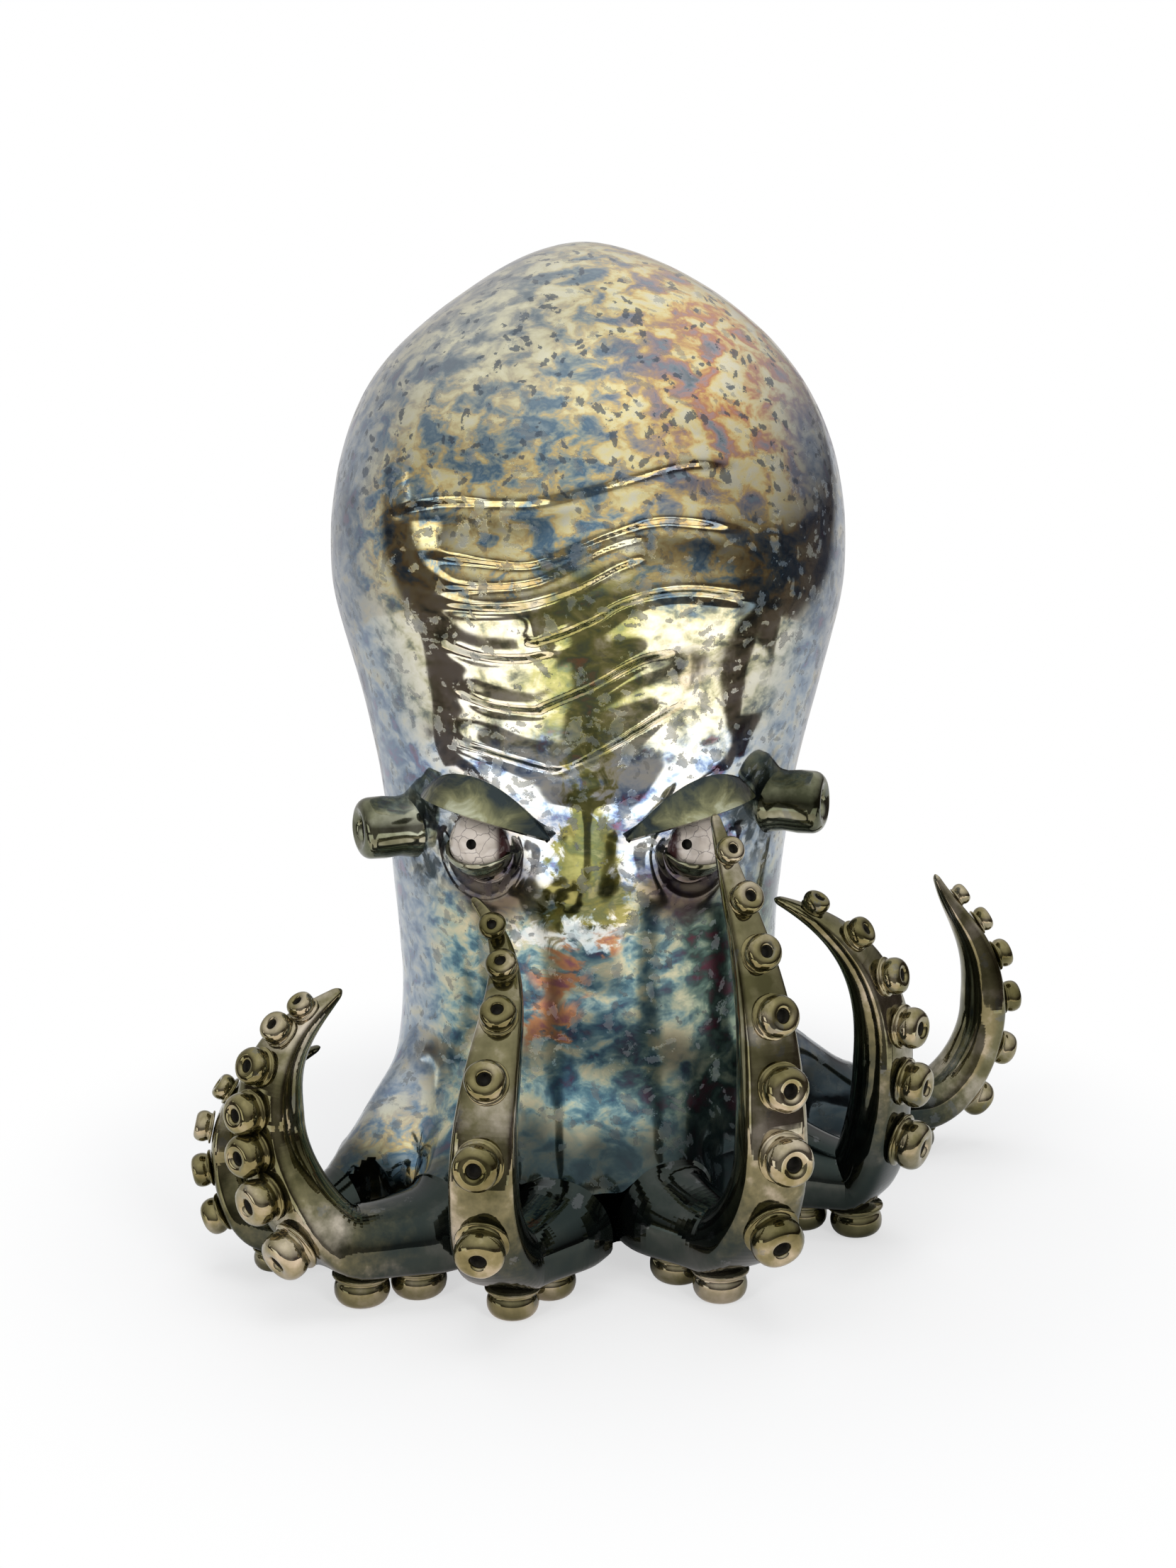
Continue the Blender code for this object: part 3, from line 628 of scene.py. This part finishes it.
def loft(bm, limb, lengths, ridgeAt):
    # one section face, extruded from station to station
    ring = bmesh.ops.create_circle(bm, cap_ends=True, segments=armShape["sides"], radius=0.001)["verts"]
    for v, co in zip(ring, limb.section(lengths[0], ridgeAt(lengths[0]))):
        v.co = co
    face = ring[0].link_faces[0]
    for length in lengths[1:]:
        made = bmesh.ops.extrude_face_region(bm, geom=[face], use_keep_orig=length == lengths[1])["geom"]
        face = next(item for item in made if isinstance(item, bmesh.types.BMFace))
        for v, co in zip(face.verts, limb.section(length, ridgeAt(length))):
            v.co = co


limbs = {name: Limb(name) for name in arms}


# skin: the body and the arms' roots, drawn together

bodyShape = dict(
    crown=0.315, crownRound=0.029, widest=(0.083, 0.225), roundAbove=0.052, roundBelow=0.038,
    neck=(0.064, 0.079), neckAbove=0.070, neckBelow=0.030, hem=(0.078, 0.016), hemRound=0.016, hemSlope=50.0,
    points=60, densePoints=900, seam=0.098, seamGap=0.0015, fineTurns=236, crowd=0.6, crowdRise=0.018,
    fineStep=0.00075, coarseStep=0.0022, coarsen=0.02, sharp=60,
)
# where body and arms overlap, where and how often their skin is smoothed, where it is the thrown form
rootShape = dict(
    turns=144, overBody=0.012, overArm=0.006, armSteps=16, voxel=0.0016, keepEnd=0.016, keepBelow=0.09,
    top=0.085, flowFrom=0.030, evenTimes=5, rootTimes=20, flowTimes=200, snapFrom=0.078, snapOver=0.012,
    snapOutside=0.04, cutNear=0.034, cutBehind=0.004,
)
# share, height and width of each swell; where the hand's unevenness begins and over what height it grows
handShape = dict(lump=0.0013, lumpSize=0.045, paddle=0.00012, paddleSize=0.013, start=0.055, grows=0.05,
                 swells=((0.036, 0.278, 0.028), (0.024, 0.206, 0.020)))
hollowShape = dict(wall=0.006, every=6, turns=72, domeRadius=0.06, domeHeight=0.2, below=-0.01)


def bodyLine(count):
    s = bodyShape
    out = Vector((1, 0, 0))
    slope = radians(s["hemSlope"])
    flare = Vector((-cos(slope), 0, sin(slope)))
    crown = Vector((0, 0, s["crown"]))
    widest, neck, hem = (Vector((r, 0, z)) for r, z in (s["widest"], s["neck"], s["hem"]))
    spans = (
        (crown, crown + out * s["crownRound"], widest + up * s["roundAbove"], widest),
        (widest, widest - up * s["roundBelow"], neck + up * s["neckAbove"], neck),
        (neck, neck - up * s["neckBelow"], hem + flare * s["hemRound"], hem),
    )
    line = [crown]
    for span in spans:
        line += interpolate_bezier(*span, count)[1:]
    return line


outerLine = bodyLine(bodyShape["points"])


def onBody(azimuth, height):
    for above, below in zip(outerLine, outerLine[1:]):
        if below.z <= height <= above.z:
            share = (above.z - height) / (above.z - below.z)
            tilt = (below.x - above.x) / (above.z - below.z)
            seat = polar(azimuth, above.lerp(below, share).x, height)
            return seat, (polar(azimuth, 1) + up * tilt).normalized()


def evaluated(piece):
    graph = bpy.context.evaluated_depsgraph_get()
    return bpy.data.meshes.new_from_object(piece.evaluated_get(graph))


def drawSkin():
    s = rootShape
    bm = bmesh.new()
    line = [(p.x, p.z) for p in outerLine if p.z < bodyShape["seam"] + s["overBody"]]
    spun(bm, [(0.0, line[0][1])] + line + [(0.0, line[-1][1])], s["turns"])
    for limb in limbs.values():
        end = limb.cut + s["overArm"]
        loft(bm, limb, [end * i / s["armSteps"] for i in range(s["armSteps"] + 1)], lambda length: 0.0)
    bmesh.ops.recalc_face_normals(bm, faces=bm.faces)
    volume = meshObject("skinVolume", bm)
    remesh = volume.modifiers.new("draw together", "REMESH")
    remesh.mode = "VOXEL"
    remesh.voxel_size = s["voxel"]
    mesh = evaluated(volume)
    bpy.data.objects.remove(volume)
    bm = bmesh.new()
    bm.from_mesh(mesh)
    return bm


def softenSkin(bm):
    # fillets at the roots, and no stairs anywhere; the cut ends of the arms keep their section
    s = rootShape
    ends = [limb.at(limb.cut)[0] for limb in limbs.values()]
    free = [v for v in bm.verts
            if min((v.co - end).length for end in ends) > s["keepEnd"] or v.co.z > s["keepBelow"]]
    roots = [v for v in free if v.co.z < s["top"]]
    flow = [v for v in roots if v.co.z > s["flowFrom"]]
    relax(bm, bm.verts, s["evenTimes"])
    relax(bm, roots, s["rootTimes"])
    relax(bm, flow, s["flowTimes"])


def snapSkin(bm):
    # above the roots the skin is the thrown form itself, without the voxels' unevenness
    s = rootShape
    for v in bm.verts:
        share = ease((v.co.z - s["snapFrom"]) / s["snapOver"])
        if share > 0 and v.co.xy.length > s["snapOutside"] and v.co.z < bodyShape["seam"]:
            reach = onBody(0, v.co.z)[0].xy.length
            v.co.xy *= mix(1, reach / v.co.xy.length, share)


def addBulb(bm):
    # above the seam the skin is turned afresh, finest where the face will be, and joined on
    s = bodyShape
    low = s["seam"] - s["seamGap"]
    geom = bm.verts[:] + bm.edges[:] + bm.faces[:]
    bmesh.ops.bisect_plane(bm, geom=geom, dist=onPlane, plane_co=(0, 0, low), plane_no=up, clear_outer=True)
    rim = [e for e in bm.edges if e.is_boundary]
    for v in bm.verts:
        v.tag = True
    line, walked = [], 0.0
    dense = [p for p in bodyLine(s["densePoints"]) if p.z > s["seam"]]
    for above, below in zip(dense, dense[1:]):
        step = mix(s["fineStep"], s["coarseStep"], ease((below.z - faceShape["high"]) / s["coarsen"]))
        if walked <= 0:
            line.append((above.x, above.z))
            walked += step
        walked -= (below - above).length
    line.append((dense[-1].x, dense[-1].z))
    bulb = spun(bm, line, s["fineTurns"])
    for v in bulb:
        turn = atan2(v.co.x, -v.co.y)
        turn -= s["crowd"] * ease((v.co.z - s["seam"]) / s["crowdRise"]) * sin(turn)
        v.co = polar(degrees(turn), v.co.xy.length, v.co.z)
    rim += [e for v in bulb for e in v.link_edges if e.is_boundary]
    bmesh.ops.bridge_loops(bm, edges=list(set(rim)))
    bmesh.ops.recalc_face_normals(bm, faces=bm.faces)


def trimRoots(bm):
    # the arms themselves start at flat cuts, which are closed
    for limb in limbs.values():
        point, way = limb.at(limb.cut)[:2]
        near = []
        for f in bm.faces:
            away = f.calc_center_median() - point
            if away.length < rootShape["cutNear"] and away.dot(way) > -rootShape["cutBehind"]:
                near.append(f)
        geom = list({v for f in near for v in f.verts}) + list({e for f in near for e in f.edges}) + near
        bmesh.ops.bisect_plane(bm, geom=geom, dist=onPlane, plane_co=point, plane_no=way, clear_outer=True)
        bmesh.ops.holes_fill(bm, edges=[e for e in bm.edges if e.is_boundary], sides=0)


# face: frown folds, brows, nose and the bags under the eyes, pressed into the skin

faceShape = dict(
    arc=0.075, edge=52.0, low=0.104, high=0.252, points=24, relaxTimes=2,
    foldStep=0.0008, foldFade=0.14, rollShare=0.75, rollWidth=0.0058, grooveShare=0.45, grooveWidth=0.0020,
    underRise=0.006, underSoft=0.008, eyeRing=0.0126, eyeRingDepth=0.0012, eyeRingWidth=0.0020,
    bagRing=0.0180, bagRise=0.0010, bagWidth=0.0034,
)
folds = [  # depth, then azimuths and heights in millimetres along the fold
    (0.0010, ((-46, 230), (-30, 233.5), (-13, 233), (-4, 235), (7, 239), (19, 243.5), (34, 244.5))),
    (0.0017, ((-34, 218), (-27, 217.5), (-17, 216), (-11, 216), (-5, 219), (4, 224.5), (13, 228), (22, 227.5),
              (34, 225))),
    (0.0015, ((-36, 209.5), (-20, 209.5), (-11, 211), (-5, 214.5), (4, 221), (14, 225))),
    (0.0013, ((-33, 204.5), (-21, 203.5), (-11, 205), (-2, 209.5), (6, 215.5), (13, 219))),
    (0.0019, ((-14, 193.5), (-9, 194.5), (1, 200.5), (7, 205.5), (16, 208.5), (26, 208), (37, 204.5))),
    (0.0014, ((-33, 193), (-24, 189.5), (-14, 189), (-6, 192))),
    (0.0018, ((-32, 180), (-23, 175), (-12, 173.5), (-9, 175), (1, 181), (11, 188.5), (19, 191))),
    (0.0017, ((-36, 164.5), (-24, 161), (-13, 157), (-6, 156), (5, 162.5), (15, 170.5), (23, 177))),
]
ridges = [  # rise, width and the ends' fade, then places as above: brows, the creases under them, the nose
    (0.0014, 0.0105, 0.2, ((-46, 150), (-36, 157), (-22, 153), (-13, 145), (-9, 132))),
    (0.0014, 0.0105, 0.2, ((46, 149), (35, 156), (22, 152), (13, 144), (9, 131))),
    (-0.0006, 0.0012, 0.1, ((-50, 141), (-38, 151.5), (-24, 147), (-12, 137))),
    (-0.0006, 0.0012, 0.1, ((51, 142), (36, 151), (22, 145.5), (11, 135.5))),
    (0.0036, 0.0085, 0.3, ((-0.5, 160), (-0.5, 147), (-0.5, 134), (-0.5, 120), (-0.5, 106))),
]


def faceUV(azimuth, height):
    return Vector((radians(azimuth) * faceShape["arc"], height, 0))


class FaceLine:
    def __init__(self, places):
        points = [faceUV(azimuth, height / 1000) for azimuth, height in places]
        points = [points[0] * 2 - points[1]] + points + [points[-1] * 2 - points[-2]]
        self.line = []
        for a, b, c, d in zip(points, points[1:], points[2:], points[3:]):
            self.line += interpolate_bezier(b, b + (c - a) / 6, c - (d - b) / 6, c, faceShape["points"])[:-1]
        self.tree = kdtree.KDTree(len(self.line))
        for i, point in enumerate(self.line):
            self.tree.insert(point, i)
        self.tree.balance()

    def look(self, spot):
        # signed distance, above the line counted up, and how far from the line's ends
        place, index, away = self.tree.find(spot)
        share = index / (len(self.line) - 1)
        return copysign(away, spot.y - place.y), min(share, 1 - share)


def shapeFace(bm):
    s = faceShape
    bm.normal_update()
    fresh = [v for v in bm.verts if s["low"] < v.co.z < s["high"] and abs(azimuthOf(v.co)) < s["edge"]]
    foldLines = [(depth, FaceLine(places)) for depth, places in folds]
    ridgeLines = [(high, width, fade, FaceLine(places)) for high, width, fade, places in ridges]
    eyes = [faceUV(sign * eyeShape["azimuth"], eyeShape["height"]) for side, sign in bothSides]
    moves = []
    for v in fresh:
        spot = faceUV(azimuthOf(v.co), v.co.z)
        rise = 0.0
        for depth, line in foldLines:
            away, end = line.look(spot)
            fade = ease(end / s["foldFade"])
            above = (1 + tanh(away / s["foldStep"])) / 2
            rise += depth * fade * above * s["rollShare"] * bell(away, s["rollWidth"])
            rise -= depth * fade * (1 - above) * s["grooveShare"] * bell(away, s["grooveWidth"])
        for high, width, fade, line in ridgeLines:
            away, end = line.look(spot)
            rise += high * ease(end / fade) * bell(away, width)
        for eye in eyes:
            away = (spot - eye).length
            under = ease((eye.y + s["underRise"] - spot.y) / s["underSoft"])
            rise -= s["eyeRingDepth"] * under * bell(away - s["eyeRing"], s["eyeRingWidth"])
            rise += s["bagRise"] * under * bell(away - s["bagRing"], s["bagWidth"])
        moves.append((v, v.normal * rise))
    for v, move in moves:
        v.co += move
    relax(bm, fresh, s["relaxTimes"])


def lumpSkin(bm):
    # the thrown form was paddled and squeezed by hand
    s = handShape
    for v in bm.verts:
        free = ease((v.co.z - s["start"]) / s["grows"])
        v.co.xy *= 1 + sum(share * bell(v.co.z - height, width) for share, height, width in s["swells"])
        lump = noise.noise(v.co / s["lumpSize"]) * s["lump"]
        lump += noise.noise(v.co / s["paddleSize"]) * s["paddle"]
        v.co += v.normal * lump * free


def hollowSkin(piece):
    s = hollowShape
    inner = []
    for p in outerLine[::s["every"]] + [outerLine[-1]]:
        dome = p.x < s["domeRadius"] and p.z > s["domeHeight"]
        inner.append((max(p.x - s["wall"], 0), p.z - (s["wall"] if dome else 0)))
    bm = bmesh.new()
    spun(bm, [(0.0, inner[0][1])] + inner[1:] + [(inner[-1][0], s["below"]), (0.0, s["below"])], s["turns"])
    bmesh.ops.recalc_face_normals(bm, faces=bm.faces)
    bmesh.ops.translate(bm, vec=axis, verts=bm.verts)
    core = meshObject("hollow", bm)
    cut = piece.modifiers.new("hollow", "BOOLEAN")
    cut.object = core
    cut.solver = "MANIFOLD"
    mesh = evaluated(piece)
    piece.modifiers.clear()
    bpy.data.objects.remove(core)
    old = piece.data
    piece.data = mesh
    bpy.data.meshes.remove(old)
    mesh.shade_smooth()
    mesh.set_sharp_from_angle(angle=radians(bodyShape["sharp"]))


print("skin: drawing body and roots together")
skin = drawSkin()
softenSkin(skin)
snapSkin(skin)
addBulb(skin)
print("skin: face")
shapeFace(skin)
lumpSkin(skin)
trimRoots(skin)
body = finishPiece("body", skin, lustre, ["body_shell"], bodyShape["sharp"])
print("skin: hollow")
hollowSkin(body)
print("body triangles", sum(len(f.vertices) - 2 for f in body.data.polygons))


print("arms")
for name, limb in limbs.items():
    armForm = bmesh.new()
    tip = limb.ends[3]
    neck = tip - armShape["tipRound"]
    stations = [mix(limb.cut, neck, i / armShape["steps"]) for i in range(armShape["steps"] + 1)]
    stations += [mix(neck, tip, share) for share in armShape["tipRings"]]
    loft(armForm, limb, stations,
         lambda length: armShape["ridge"] * ease((length - limb.cut) / armShape["ridgeOver"]))
    finishPiece(f"arm_{name}", armForm, bronze, ["arm_" + name], sharp=60)


# suckers: squat barrels with a foot ring, a rolled lip and a poked hole

def barrelLine(ring):
    # shares of the radius and of the height, from the hole's bottom over a rounded rim to the foot ring
    s = suckerShape
    line = [(s["hole"] * share, high) for share, high in s["bowl"]]
    for i in range(s["rimSteps"] + 1):
        turn = radians(mix(*s["rimTurn"], i / s["rimSteps"]))
        out, high = (copysign(abs(share) ** s["square"], share) for share in (cos(turn), sin(turn)))
        line.append((mix(s["rim"], 1, out), 0.5 + 0.5 * high))
    return line + [s["waist"]] + [(ring - inward, high) for inward, high in s["foot"]] + [s["base"]]


def makeSuckers(name, limb):
    s = suckerShape
    bm = bmesh.new()
    for number, (length, radius, height) in enumerate(limb.suckers(), 1):
        point, way, flat, across = limb.at(length)
        right, left, outer, inner = limb.sizes(length)
        loose = number > s["grounded"]  # the first ones stand level on the floor
        wobble = s["wobble"] if loose else 0
        lean = Matrix.Rotation(radians(random.uniform(-wobble, wobble)), 4, "X")
        lean @= Matrix.Rotation(radians(random.uniform(-wobble, wobble)), 4, "Y")
        wide = radius * s["fuller"] * random.uniform(*s["spread"])
        ring = min(max(min(right, left) / wide, s["ringLeast"]), s["ringMost"])
        line = [(r * wide, h * height) for r, h in barrelLine(ring)]
        place = standing(point + flat * (outer + armShape["gap"]), flat, way) @ lean
        verts = spun(bm, line, s["steps"], place)
        for f in {f for v in verts for f in v.link_faces}:
            local = place.inverted() @ f.calc_center_median()
            f.material_index = int(local.xy.length < wide * s["hole"] and local.z > height * s["holeFloor"])
        if loose:
            for v in verts:
                v.co += noise.noise_vector(v.co * s["grain"]) * s["grainDepth"]
    finishPiece(f"suckers_{name}", bm, gold, [f"sucker_{name}_{i}" for i in range(1, 6)],
                inside=dark)


print("suckers")
for name, limb in limbs.items():
    makeSuckers(name, limb)


# eyes, lids and siphons

lidShape = dict(
    grid=(48, 20), halfWidth=0.0235, pointed=0.985, rim=0.0085, arch=0.0047, rise=0.0100, reach=0.0108,
    bury=0.42, convex=1.5, slant=12.0, thick=0.0020, sharp=45, highLeaf=(0.20, 1.10), deepLeaf=(0.10, 1.0),
    lip=0.0012, lipFrom=0.84, lipOver=0.10, lipDrop=0.3,
)
lowerLidShape = dict(grid=(44, 20), slant=4.0, side=80.0, foot=-15.0, top=72.0, away=0.0010, roll=0.0006,
                     rollAt=0.92, rollWidth=0.08, thick=0.0008)


def eyePlace(sign):
    seat, outward = onBody(sign * eyeShape["azimuth"], eyeShape["height"])
    return seat - outward * eyeShape["sink"], outward


def leaf(place, peak, full):
    # 0 at the pointed ends, 1 at the peak, which lies towards the outer corner
    rise = ((1 + place) / (1 + peak)) ** (1 + peak) * ((1 - place) / (1 - peak)) ** (1 - peak)
    return rise ** full


def lidGrid(columns, rows):
    bm = bmesh.new()
    bmesh.ops.create_grid(bm, x_segments=columns, y_segments=rows, size=1.0)
    return bm


def finishLid(name, sign, bm, s, material):
    # thickened, slanted towards the nose and seated at the eye
    centre, outward = eyePlace(sign)
    slant = Matrix.Rotation(radians(sign * s["slant"]), 4, "Z")
    bmesh.ops.solidify(bm, geom=bm.faces[:], thickness=s["thick"])
    bmesh.ops.transform(bm, matrix=standing(centre, outward, up) @ slant, verts=bm.verts)
    finishPiece(name, bm, material, [name], lidShape["sharp"])


def makeUpperLid(side, sign):
    # a leaf that slopes from the brow to a rolled rim over the eye
    s = lidShape
    bm = lidGrid(*s["grid"])
    for v in bm.verts:
        along, out = v.co.x * s["pointed"], mix(-s["bury"], 1, (v.co.y + 1) / 2)
        high, deep = leaf(along * sign, *s["highLeaf"]), leaf(along * sign, *s["deepLeaf"])
        lip = s["lip"] * ease((out - s["lipFrom"]) / s["lipOver"])
        slope = 1 - max(out, 0) ** s["convex"]
        v.co = (s["halfWidth"] * along,
                s["rim"] + s["arch"] * deep + s["rise"] * high * slope - lip * s["lipDrop"],
                s["reach"] * deep * out + lip * deep)
    bmesh.ops.recalc_face_normals(bm, faces=bm.faces)
    top = max(bm.faces, key=lambda f: f.calc_center_median().y)
    if top.normal.y < 0:
        bmesh.ops.reverse_faces(bm, faces=bm.faces)
    finishLid("upper_lid_" + side, sign, bm, s, leafGreen)


def makeLowerLid(side, sign):
    # a strip that clings to the eyeball from corner to corner, with a rolled rim
    s = lowerLidShape
    bm = lidGrid(*s["grid"])
    for v in bm.verts:
        across, share = radians(s["side"] * v.co.x), (v.co.y + 1) / 2
        turn = radians(mix(s["foot"], s["top"], share))
        radius = eyeShape["ball"] + s["away"] + s["roll"] * bell(share - s["rollAt"], s["rollWidth"])
        v.co = radius * Vector((sin(across), -cos(across) * cos(turn), cos(across) * sin(turn)))
    bm.normal_update()
    if sum(f.normal.dot(f.calc_center_median()) for f in bm.faces) < 0:
        bmesh.ops.reverse_faces(bm, faces=bm.faces)
    finishLid("lower_lid_" + side, sign, bm, s, olive)


def makeSiphon(side):
    s = siphonShape
    azimuth, height = s["places"][side]
    heading = polar(azimuth + copysign(s["turn"], azimuth), 1)
    place = standing(onBody(azimuth, height)[0], heading, up)
    end, edge, radius, hole = s["length"], s["edge"], s["radius"], s["hole"]
    line = [(hole * share, end - depth) for share, depth in s["bowl"]]
    for i in range(s["edgeSteps"] + 1):
        turn = pi / 2 * i / s["edgeSteps"]
        line.append((radius - edge + edge * sin(turn), end - edge + edge * cos(turn)))
    line += [(radius * share, along) for share, along in s["stem"]]
    bm = bmesh.new()
    verts = spun(bm, line, s["turns"], place)
    for f in bm.faces:
        local = place.inverted() @ f.calc_center_median()
        f.material_index = int(local.xy.length < hole and 0 < local.z < end - s["lip"])
    for v in verts:
        v.co += noise.noise_vector(v.co * s["grain"]) * s["grainDepth"]
    finishPiece(f"siphon_{side}", bm, olive, ["siphon_" + side], inside=dark)


def makeEye(side, sign):
    s = eyeShape
    centre = eyePlace(sign)[0]
    bm = bmesh.new()
    edge = asin(s["pupil"] / s["ball"])
    floor = s["ball"] - s["pupilDepth"]
    line = [(0, floor), (s["pupil"] * s["pupilFloor"], floor)]
    for i in range(s["rings"] + 1):
        turn = mix(edge, pi, i / s["rings"])
        line.append((s["ball"] * sin(turn), s["ball"] * cos(turn)))
    aside, lift = s["gaze"]
    lift = radians(lift)
    spun(bm, line, s["turns"], standing(centre, polar(aside, cos(lift), sin(lift)), up))
    for f in bm.faces:
        f.material_index = int((f.calc_center_median() - centre).length < s["ball"] * s["hollow"])
    finishPiece(f"eyeball_{side}", bm, white, ["eyeball_" + side], sharp=50, inside=dark)


print("face")
for side, sign in bothSides:
    makeEye(side, sign)
    makeUpperLid(side, sign)
    makeLowerLid(side, sign)
    makeSiphon(side)


# stage: a pale floor, soft boxes, and a room that is white above and dim in front

# left, right, front and back of the floor's sheets; the sheen is how bright the glaze mirrors them
tableTop = dict(
    sheets=((-0.22, 0.22, -0.25, -0.21), (-0.22, 0.24, -0.21, -0.13), (-0.33, 0.27, -0.13, -0.08),
            (-0.62, 0.44, -0.08, 0.06), (-0.62, 0.62, 0.06, 0.62)),
    clear=0.15, fade=0.25, grey=0.62, rough=0.9, glow=0.60, sheen=0.75, sheenColour=(1.7, 1.5, 1.42),
    sheenEdge=(-0.07, -0.13),
)


def makeStage():
    s = tableTop
    bm = bmesh.new()
    for left, right, low, high in s["sheets"]:
        middle = Matrix.Translation(((left + right) / 2, (low + high) / 2, 0))
        place = middle @ Matrix.Diagonal(((right - left) / 2, (high - low) / 2, 1, 1))
        bmesh.ops.create_grid(bm, x_segments=1, y_segments=1, size=1, matrix=place)
    floor = meshObject("floor", bm)
    g = Glaze("paleFloor")
    at = g.node("TexCoord", output="Object")
    x, y, z = g.axes(at)
    floor.data.materials.append(g.finish(colour=(s["grey"],) * 3, rough=s["rough"]))
    seen = g.node("LightPath", output="Is Camera Ray")
    mirrored = Wire(g, seen.socket.node.outputs["Is Glossy Ray"])
    tint = g.blend(mirrored, (1.0, 1.0, 1.0), s["sheenColour"])
    glow = g.node("Emission", None, {"Color": tint, "Strength": 1.0})
    matt = Wire(g, g.shader.outputs[0])
    share = seen * g.between(fromAxis(x, y), s["clear"], s["fade"], s["glow"], 1.0)
    share = share + mirrored * g.between(y, *s["sheenEdge"]) * s["sheen"]
    mixed = g.node("MixShader", None, {0: share, 1: matt, 2: glow})
    g.feed(g.tree.nodes["Material Output"].inputs["Surface"], mixed)


# windows and white table edges in front of the figure, in degrees: from low to high, then from left to right
# at the low end and at the high end, sideways from the camera
panes = (
    (-34, -18, (-55, -11), (-65, -18)),
    (-34, -13, (9, 64), (31, 80)),
    (-12, 6, (-66, -42), (-80, -54)),
    (7, 18, (-92, -88), (-93, -89)),
)
# left and right edge: where the white walls begin, in radians, how that leans with height, how soft it is
roomShape = dict(
    paneLight=1.7, soft=0.04, ragged=0.10, raggedNoise=(6.0, 3.0), raggedHigh=0.5, side=0.60,
    leftEdge=(1.64, 0.3, 0.15), rightEdge=(2.32, 1.50, 0.25), middle=0.20, middleEdge=(0.95, 0.35),
    greys=((0.08, 0.0), (0.20, 0.25), (0.42, 0.6), (0.77, 1.0)), haze=(3.0, 2.0), hazeLight=0.05,
    warm=(0.022, 0.008, 0.007), matt=(0.75, 0.76, 0.78), seen=(1.0, 1.0, 1.0),
)


def pane(g, ahead, height, low, high, lowSides, highSides):
    soft = roomShape["soft"]
    bottom, top = sin(radians(low)), sin(radians(high))
    share = (height - bottom) / (top - bottom)
    left, right = (radians(a) + share * radians(b - a) for a, b in zip(lowSides, highSides))
    wide = g.between(ahead - left, -soft, soft) * g.between(right - ahead, -soft, soft)
    above = g.between(height, bottom - soft / 2, bottom + soft / 2)
    return wide * above * g.between(height, top + soft / 2, top - soft / 2)


def makeRoom():
    # the camera sees white, and the glaze white above and beside, with bright panes in a dim room in front
    s = roomShape
    world = bpy.data.worlds.new("room")
    bpy.context.scene.world = world
    g = Glaze("room", world)
    way = g.node("TexCoord", output="Generated")
    x, y, z = g.axes(way)
    bright = g.colours(z, [(place, (level, level, level)) for place, level in s["greys"]])
    ahead = g.node("Math", {"operation": "ARCTAN2"}, {0: x, 1: 0.0 - y})
    uneven = (g.cloud(way, *s["raggedNoise"]) - 0.5) * s["ragged"]
    lights = []
    for (edge, lean, soft), there in ((s["leftEdge"], x < 0), (s["rightEdge"], x > 0)):
        lights.append(g.between(abs(ahead) - (edge + z * lean), 0.0, soft) * there * s["side"])
    for edges in panes:
        lights.append(pane(g, ahead + uneven, z + uneven * s["raggedHigh"], *edges) * s["paneLight"])
    for light in lights:
        bright = bright.atLeast(light)
    bright = bright + g.cloud(way, *s["haze"]) * s["hazeLight"]
    bright = bright + g.between(abs(ahead), *s["middleEdge"]) * s["middle"]
    mirrored = g.node("CombineColor", None, {i: bright + tint for i, tint in enumerate(s["warm"])})
    path = g.node("LightPath").socket.node
    glossy = Wire(g, path.outputs["Is Glossy Ray"])
    camera = Wire(g, path.outputs["Is Camera Ray"])
    light = g.blend(camera, g.blend(glossy, s["matt"], mirrored), s["seen"])
    g.feed(g.tree.nodes["Background"].inputs["Color"], light)


lamps = dict(  # place, size and power
    left=(Vector((-0.75, -1.15, 0.62)), 0.34, 8.0), right=(Vector((0.70, -1.20, 0.70)), 0.40, 9.0),
    top=(Vector((0.0, 0.1, 1.6)), 1.2, 14.0),
)
lampAim = Vector((0, 0, 0.15))


def makeLamps():
    for name, (place, size, power) in lamps.items():
        lamp = bpy.data.lights.new(name, "AREA")
        lamp.size = size
        lamp.energy = power
        holder = linked(name, lamp)
        facing = (place - lampAim).to_track_quat("Z", "Y").to_matrix().to_4x4()
        holder.matrix_world = Matrix.Translation(place) @ facing
        holder.visible_glossy = False


cameraView = dict(away=0.5606, height=0.2378, pitch=10.0, fov=50.0)


def makeCamera():
    s = cameraView
    eye = bpy.data.cameras.new("camera")
    eye.sensor_fit = "VERTICAL"
    eye.angle = radians(s["fov"])
    holder = linked("camera", eye)
    holder.location = axis + Vector((0, -s["away"], s["height"]))
    holder.rotation_euler = (radians(90 - s["pitch"]), 0, 0)
    bpy.context.scene.camera = holder


print("stage")
makeStage()
makeRoom()
makeLamps()
makeCamera()
bpy.context.scene.view_settings.view_transform = "Standard"
